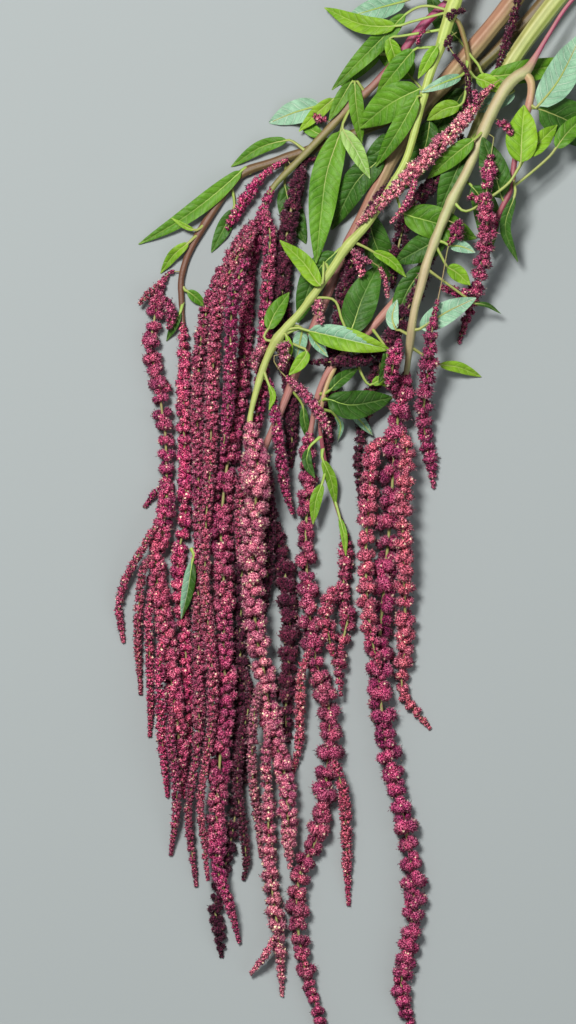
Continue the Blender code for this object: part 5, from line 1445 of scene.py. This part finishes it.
def ball_rows(strand, random):
    """Where the balls sit: length along the axis, angle round it, distance from it, and radius."""
    facts, spine = strand.facts, strand.spine
    end = spine.run[-1]
    s = facts["joint"] + FIRST_WHORL
    lump = LUMPS[int(spine.half.max() > LUMPY)]
    phase = random.uniform(0, 6)
    found = []
    turn = 0.0
    while s < end - LAST_WHORL:
        half = float(np.interp(s, spine.run, spine.half))
        whorls, s = whorls_at(s, half, facts["kind"] == "beads", random)
        for place, size, away, count in whorls:
            half = float(np.interp(place, spine.run, spine.half))
            if half < BARE_HALF and place - facts["joint"] < BARE_SHARE * (end - facts["joint"]):
                continue
            lump_length = max(LUMP_LENGTH * half, SHORTEST_LUMP)
            half *= 1 + lump * math.sin(phase + 2 * math.pi * place / lump_length)
            turn += math.pi / count + random.uniform(-0.25, 0.25)
            for k in range(count):
                if random.random() < MISSING:
                    continue
                spot = place + half * random.uniform(-0.28, 0.28)
                angle = turn + 2 * math.pi * (k + random.uniform(-0.14, 0.14)) / count
                found.append((min(spot, end), angle, away * half * random.uniform(0.84, 1.10),
                              max(size * half * random.uniform(0.78, 1.18), SMALLEST_BALL)))
    return np.array(found)


balls = [len(ball_rows(s, np.random.default_rng(0))) for s in settled if s.facts["sort"] != "leaf"]
print("balls of flowers, about:", sum(balls))

# %% Cores of the balls
def icosahedron():
    """Corners of an icosahedron at distance one, and its 20 faces."""
    golden = (1 + 5 ** 0.5) / 2
    points = [(0, a, b * golden) for a in (1, -1) for b in (1, -1)]
    points = unit(np.array([(p[k % 3], p[(k + 1) % 3], p[(k + 2) % 3]) for k in range(3) for p in points]))
    faces = []
    for a in range(12):
        for b in range(a + 1, 12):
            for c in range(b + 1, 12):
                if max(np.linalg.norm(points[[a, b, c]] - points[[b, c, a]], axis=1)) < 1.2:
                    out = points[a] @ np.cross(points[b], points[c]) > 0
                    faces.append((a, b, c) if out else (a, c, b))
    return points, np.array(faces)


def finer(points, faces):
    """The same ball with every face cut in four."""
    points = list(points)
    middles = {}

    def middle(a, b):
        key = (min(a, b), max(a, b))
        if key not in middles:
            middles[key] = len(points)
            points.append(unit(points[a] + points[b]))
        return middles[key]

    cut = []
    for a, b, c in faces:
        ab, bc, ca = middle(a, b), middle(b, c), middle(c, a)
        cut += [(a, ab, ca), (ab, b, bc), (ca, bc, c), (ab, bc, ca)]
    return np.array(points), np.array(cut)


SMALL_CORE = icosahedron()
LARGE_CORE = finer(*SMALL_CORE)
print("faces of a small core and a large one:", len(SMALL_CORE[1]), len(LARGE_CORE[1]))

# %% Directions
def sphere_points(count):
    """Directions spread evenly over a sphere, on a spiral."""
    k = np.arange(count) + 0.5
    up = 1 - 2 * k / count
    turn = math.pi * (1 + 5 ** 0.5) * k
    flat = np.sqrt(1 - up * up)
    return np.stack([flat * np.cos(turn), flat * np.sin(turn), up], axis=1)


def turned(count, random):
    """Random rotations, as matrices, from random unit quaternions."""
    w, x, y, z = unit(random.normal(size=(count, 4))).T
    return np.stack([1 - 2 * (y * y + z * z), 2 * (x * y - z * w), 2 * (x * z + y * w),
                     2 * (x * y + z * w), 1 - 2 * (x * x + z * z), 2 * (y * z - x * w),
                     2 * (x * z - y * w), 2 * (y * z + x * w), 1 - 2 * (x * x + y * y)],
                    axis=1).reshape(-1, 3, 3)


def leaning(way, spread, random):
    """Directions that lean off the given ones, and a direction across each."""
    lean = unit(way + random.normal(0, spread, way.shape))
    return lean, unit(np.cross(lean, unit(random.normal(size=way.shape))))


# %% What hides a flower
NEIGHBOURS = 9           # balls on each side along the strand that can hide a flower
FLOOR = 0.0003           # nothing of a seed head lies lower than this


def hidden(points, centre, radius, share):
    """Which points of each ball lie inside a ball near it on the strand."""
    found = np.zeros(points.shape[:2], bool)
    for step in (*range(-NEIGHBOURS, 0), *range(1, NEIGHBOURS + 1)):
        if abs(step) < len(centre):
            other = np.roll(centre, step, axis=0)
            reach = share * np.roll(radius, step)
            found |= np.linalg.norm(points - other[:, None], axis=2) < reach[:, None]
    return found


def above_floor(points):
    """The same points, with those that lie too low lifted."""
    points[..., 2] = np.maximum(points[..., 2], FLOOR)
    return points


# %% A core, its flowers and its hairs
LARGE_BALL = 0.0027      # a larger ball has a finer core
CORE = 0.84              # radius of a core, as a share of the ball's
FLOWER_WIDE = 0.46       # half width of a flower, as a share of its size, like the next three
FLOWER_ROOT, HAIR_WIDE, HAIR_SPREAD = 0.15, 0.13, 0.3
FLOWER_LEAN, HAIR_LEAN = 0.25, 0.55   # how far they lean off the straight way out
# How far a point looks outwards, off the strand's axis, becomes painted shade: what turns in is darker.
TURNED_OUT = 0.3         # added to how far a point looks outwards, before it is used as a shade


def core_skin(gather, centre, radius, out, shades, hue, spin, random):
    """The cores, less the faces that other balls cover. They are dark, and painted darker still where they
    turn in towards the strand's axis: painted shade of the hollows between the balls.
    """
    corners, faces = LARGE_CORE if np.median(radius) > LARGE_BALL else SMALL_CORE
    way = np.einsum("nij,kj->nki", spin, corners)
    core = (CORE * radius)[:, None, None]
    hull = centre[:, None] + core * way * random.uniform(0.93, 1.07, (*way.shape[:2], 1))
    covered = hidden(hull, centre, radius, CORE)
    facing = np.clip(np.einsum("nki,ni->nk", way, out) + TURNED_OUT, 0, 1)
    row = (faces[None] + len(corners) * np.arange(len(centre))[:, None, None]).reshape(-1, 3)
    row = row[~covered.reshape(-1)[row].all(axis=1)]
    gather.add(above_floor(hull), row, 0, tints(0.35 * facing, 0.5, shades[:, None], hue), way)


def flower_skin(gather, base, way, size, facing, shades, hue, random):
    """Flowers: a cone with three sides each, dark at its foot and light at its tip, and painted darker all
    over where it turns in towards the strand's axis: painted shade.
    """
    lean, side = leaning(way, FLOWER_LEAN, random)
    other = np.cross(lean, side)
    angle = 2 * np.pi * np.arange(3) / 3
    around = np.cos(angle)[:, None] * side[:, None] + np.sin(angle)[:, None] * other[:, None]
    wide = (FLOWER_WIDE * size * random.uniform(0.85, 1.15, len(size)))[:, None, None]
    ring = (base - FLOWER_ROOT * size[:, None] * lean)[:, None] + wide * around
    tips = base + (random.uniform(0.3, 0.65, len(size)) * size)[:, None] * lean
    normals = np.concatenate([unit(way[:, None] + 0.2 * around), way[:, None]], axis=1)
    foot, tip = 0.3 * facing, 0.4 + 0.6 * facing
    tint = tints(np.stack([foot, foot, foot, tip], axis=1), random.random(len(size))[:, None],
                 shades[:, None], hue)
    faces = np.array([(0, 1, 3), (1, 2, 3), (2, 0, 3)])[None] + 4 * np.arange(len(size))[:, None, None]
    gather.add(above_floor(np.concatenate([ring, tips[:, None]], axis=1)), faces.reshape(-1, 3), 0, tint,
               normals)


def hair_skin(gather, base, way, size, shades, hue, random):
    """Hairs: a narrow triangle each, lit as if it looked upwards."""
    lean, side = leaning(way, HAIR_LEAN, random)
    foot = base + random.normal(0, HAIR_SPREAD, way.shape) * size[:, None]
    wide = HAIR_WIDE * size[:, None] * side
    points = np.stack([foot - wide, foot + wide,
                       foot + random.uniform(0.55, 1.0, (len(size), 1)) * size[:, None] * lean], axis=1)
    tint = tints(np.array([0.6, 0.6, 1.0]), random.uniform(0.3, 1, len(size))[:, None], shades[:, None],
                 hue)
    faces = 3 * np.arange(len(size))[:, None] + np.arange(3)
    gather.add(above_floor(points), faces, 0, tint, np.repeat(unit(way + [0, 0, 0.5]), 3, axis=0))


# %% The balls of a whole strand
FLOWER_AREA = 4.5e-6     # surface of a ball that one flower takes up, in square metres
FEWEST, MOST = 10, 42    # flowers on a ball
BACK = -0.35             # flowers that look further back than this are left out
UNDER = 0.93             # a flower is hidden within this share of another ball's radius
HAIRS = 1.0              # share of the flowers that have a hair beside them


def cluster_skin(gather, centre, radius, out, shades, hue, random):
    """Balls along a strand: a core each, and flowers and hairs wherever no other ball covers them."""
    count = int(np.clip(4 * math.pi * np.median(radius) ** 2 / FLOWER_AREA, FEWEST, MOST))
    size = np.sqrt(4 * math.pi * radius ** 2 / count)
    spin = turned(len(centre), random)
    core_skin(gather, centre, radius, out, shades, hue, spin, random)
    way = np.einsum("nij,kj->nki", spin, sphere_points(count))
    base = centre[:, None] + (CORE * radius)[:, None, None] * way
    facing = np.einsum("nki,ni->nk", way, out)
    covered = hidden(base + 0.3 * size[:, None, None] * way, centre, radius, UNDER)
    ball, pick = np.nonzero((facing > BACK) & ~covered)
    way, base, size, shades = way[ball, pick], base[ball, pick], size[ball], shades[ball]
    # Painted shade: flowers that turn in towards the strand's axis get a darker tint.
    facing = np.clip(facing[ball, pick] + TURNED_OUT, 0, 1)
    flower_skin(gather, base, way, size, facing, shades, hue, random)
    hairy = random.random(len(size)) < HAIRS
    hair_skin(gather, base[hairy], way[hairy], size[hairy], shades[hairy], hue, random)


# %% Each seed head
AXIS_STEP = 0.005        # length between two rings of the green axis
AXIS_SIDES = 6
AXIS_FROM, AXIS_TO = 0.003, 0.97   # where it starts after the joint, and its end as a share of the head
AXIS_SHARE = 0.14        # its half width, as a share of the head's
AXIS_THIN, AXIS_THICK = 0.0005, 0.0013   # least and greatest half width of the axis
RESTING = 0.75           # least height of a ball's middle over the floor, as a share of its radius
HEAD_SEED = 500
HEAD_TONE = {"dark_head": "dark", "pink_head": "pink", "crimson_head": "crimson"}


def head_skin(gather, strand, random):
    """One seed head: its green axis and its balls of flowers."""
    facts, spine = strand.facts, strand.spine
    where, turn, away, radius = ball_rows(strand, random).T
    middle, beside, above, _ = spine.at(where)
    out = unit(np.cos(turn)[:, None] * beside - np.sin(turn)[:, None] * above)
    centre = middle + away[:, None] * out
    centre[:, 2] = np.maximum(centre[:, 2], RESTING * radius)
    # Each ball's tone: one for the strand, one at random for the ball, and painted light: balls on top of a
    # strand are lighter and those on its underside darker.
    shades = random.uniform(0.2, 0.7) + random.normal(0, 0.14, len(radius)) + 0.3 * (out[:, 2] - 0.35)
    cluster_skin(gather, centre, radius, out, np.clip(shades, 0, 1), random.uniform(0, 1), random)
    start = facts["joint"] + (AXIS_FROM if facts["joint"] else 0)
    where = even(start, AXIS_TO * spine.run[-1], AXIS_STEP)
    half = np.interp(where, spine.run, spine.half)
    points, angle = tube(spine, where, AXIS_SIDES, np.clip(AXIS_SHARE * half, AXIS_THIN, AXIS_THICK))
    shade = np.tile(0.5 + 0.5 * np.cos(2 * angle), (len(where), 1))
    gather.add(points, grid_faces(len(where), AXIS_SIDES), 1, tints(shade))


heads = sorted({node for strand in settled for node in strand.nodes if node.startswith("seed")})
total = 0
for number, node in enumerate(heads):
    random = np.random.default_rng(HEAD_SEED + number)
    gather = Gather()
    for strand in settled:
        if strand.nodes[-1] == node:
            head_skin(gather, strand, random)
    tone = HEAD_TONE[slot_of[node]]
    piece = gather.piece(node.replace("seed_", "flowers_"), [flower[tone], bark["rachis"]], slot_of[node],
                         node)
    total += len(piece.data.polygons)
print("triangles of all seed heads:", total)

# %% [markdown]
# ## Camera, light and floor
# The bunch is seen from straight above, on a pale floor in soft light. A long lens from far off keeps
# the tall parts of the pile from looking bigger than they do in the plan. One window lamp gives the
# soft shadows and a larger, weaker one fills them in. An even white sky alone would leave it flat.

# %% Camera, light and floor
CAMERA_HEIGHT = 6.0
PILE_MIDDLE = 0.03       # height of the pile's middle, from which the camera's distance counts
SENSOR = 36
CAMERA_RANGE = 50
FLOOR_HALF = 6           # half the side of the floor


def add_object(name, data, at):
    """An object in the scene."""
    obj = bpy.data.objects.new(name, data)
    obj.location = at
    bpy.context.scene.collection.objects.link(obj)
    return obj


def camera():
    """A camera straight above the middle of the plan, which shows the plan's full height."""
    found = bpy.data.cameras.new("camera")
    found.sensor_width = SENSOR
    found.lens = SENSOR * CAMERA_HEIGHT / (PLAN_DOWN * STEP)
    found.clip_end = CAMERA_RANGE
    at = (shift[0], shift[1], CAMERA_HEIGHT + PILE_MIDDLE)
    bpy.context.scene.camera = add_object("camera", found, at)


def lamp(name, at, size, power, colour):
    """A square area light that faces the middle of the bunch."""
    found = bpy.data.lights.new(name, "AREA")
    found.size, found.energy, found.color = size, power, colour
    add_object(name, found, at).rotation_euler = Vector(at).to_track_quat("Z", "Y").to_euler()


def floor():
    """A pale matt floor, which the export leaves out."""
    corners = [(a * FLOOR_HALF, b * FLOOR_HALF, 0) for a, b in ((-1, -1), (1, -1), (1, 1), (-1, 1))]
    mesh = bpy.data.meshes.new("floor")
    mesh.from_pydata(corners, [], [(0, 1, 2, 3)])
    found = bpy.data.materials.new("floor")
    found.use_nodes = True
    shader = found.node_tree.nodes["Principled BSDF"]
    shader.inputs["Base Color"].default_value = linear("989FA0")
    shader.inputs["Roughness"].default_value = 0.9
    mesh.materials.append(found)
    add_object("floor", mesh, (0, 0, 0))


def sky(colour, strength):
    """Even light from all round."""
    world = bpy.data.worlds.new("soft_sky")
    world.use_nodes = True
    background = world.node_tree.nodes["Background"].inputs
    background["Color"].default_value = colour
    background["Strength"].default_value = strength
    bpy.context.scene.world = world


camera()
floor()
lamp("window", (-1.0, 1.3, 3.3), 0.8, 175, (1.0, 0.98, 0.95))
lamp("fill", (2.6, -1.2, 2.6), 3.0, 25, (0.96, 0.98, 1.0))
sky((0.93, 0.97, 1.0, 1), 0.2)
bpy.context.scene.view_settings.view_transform = "Standard"
print("lens:", round(bpy.context.scene.camera.data.lens), "mm")
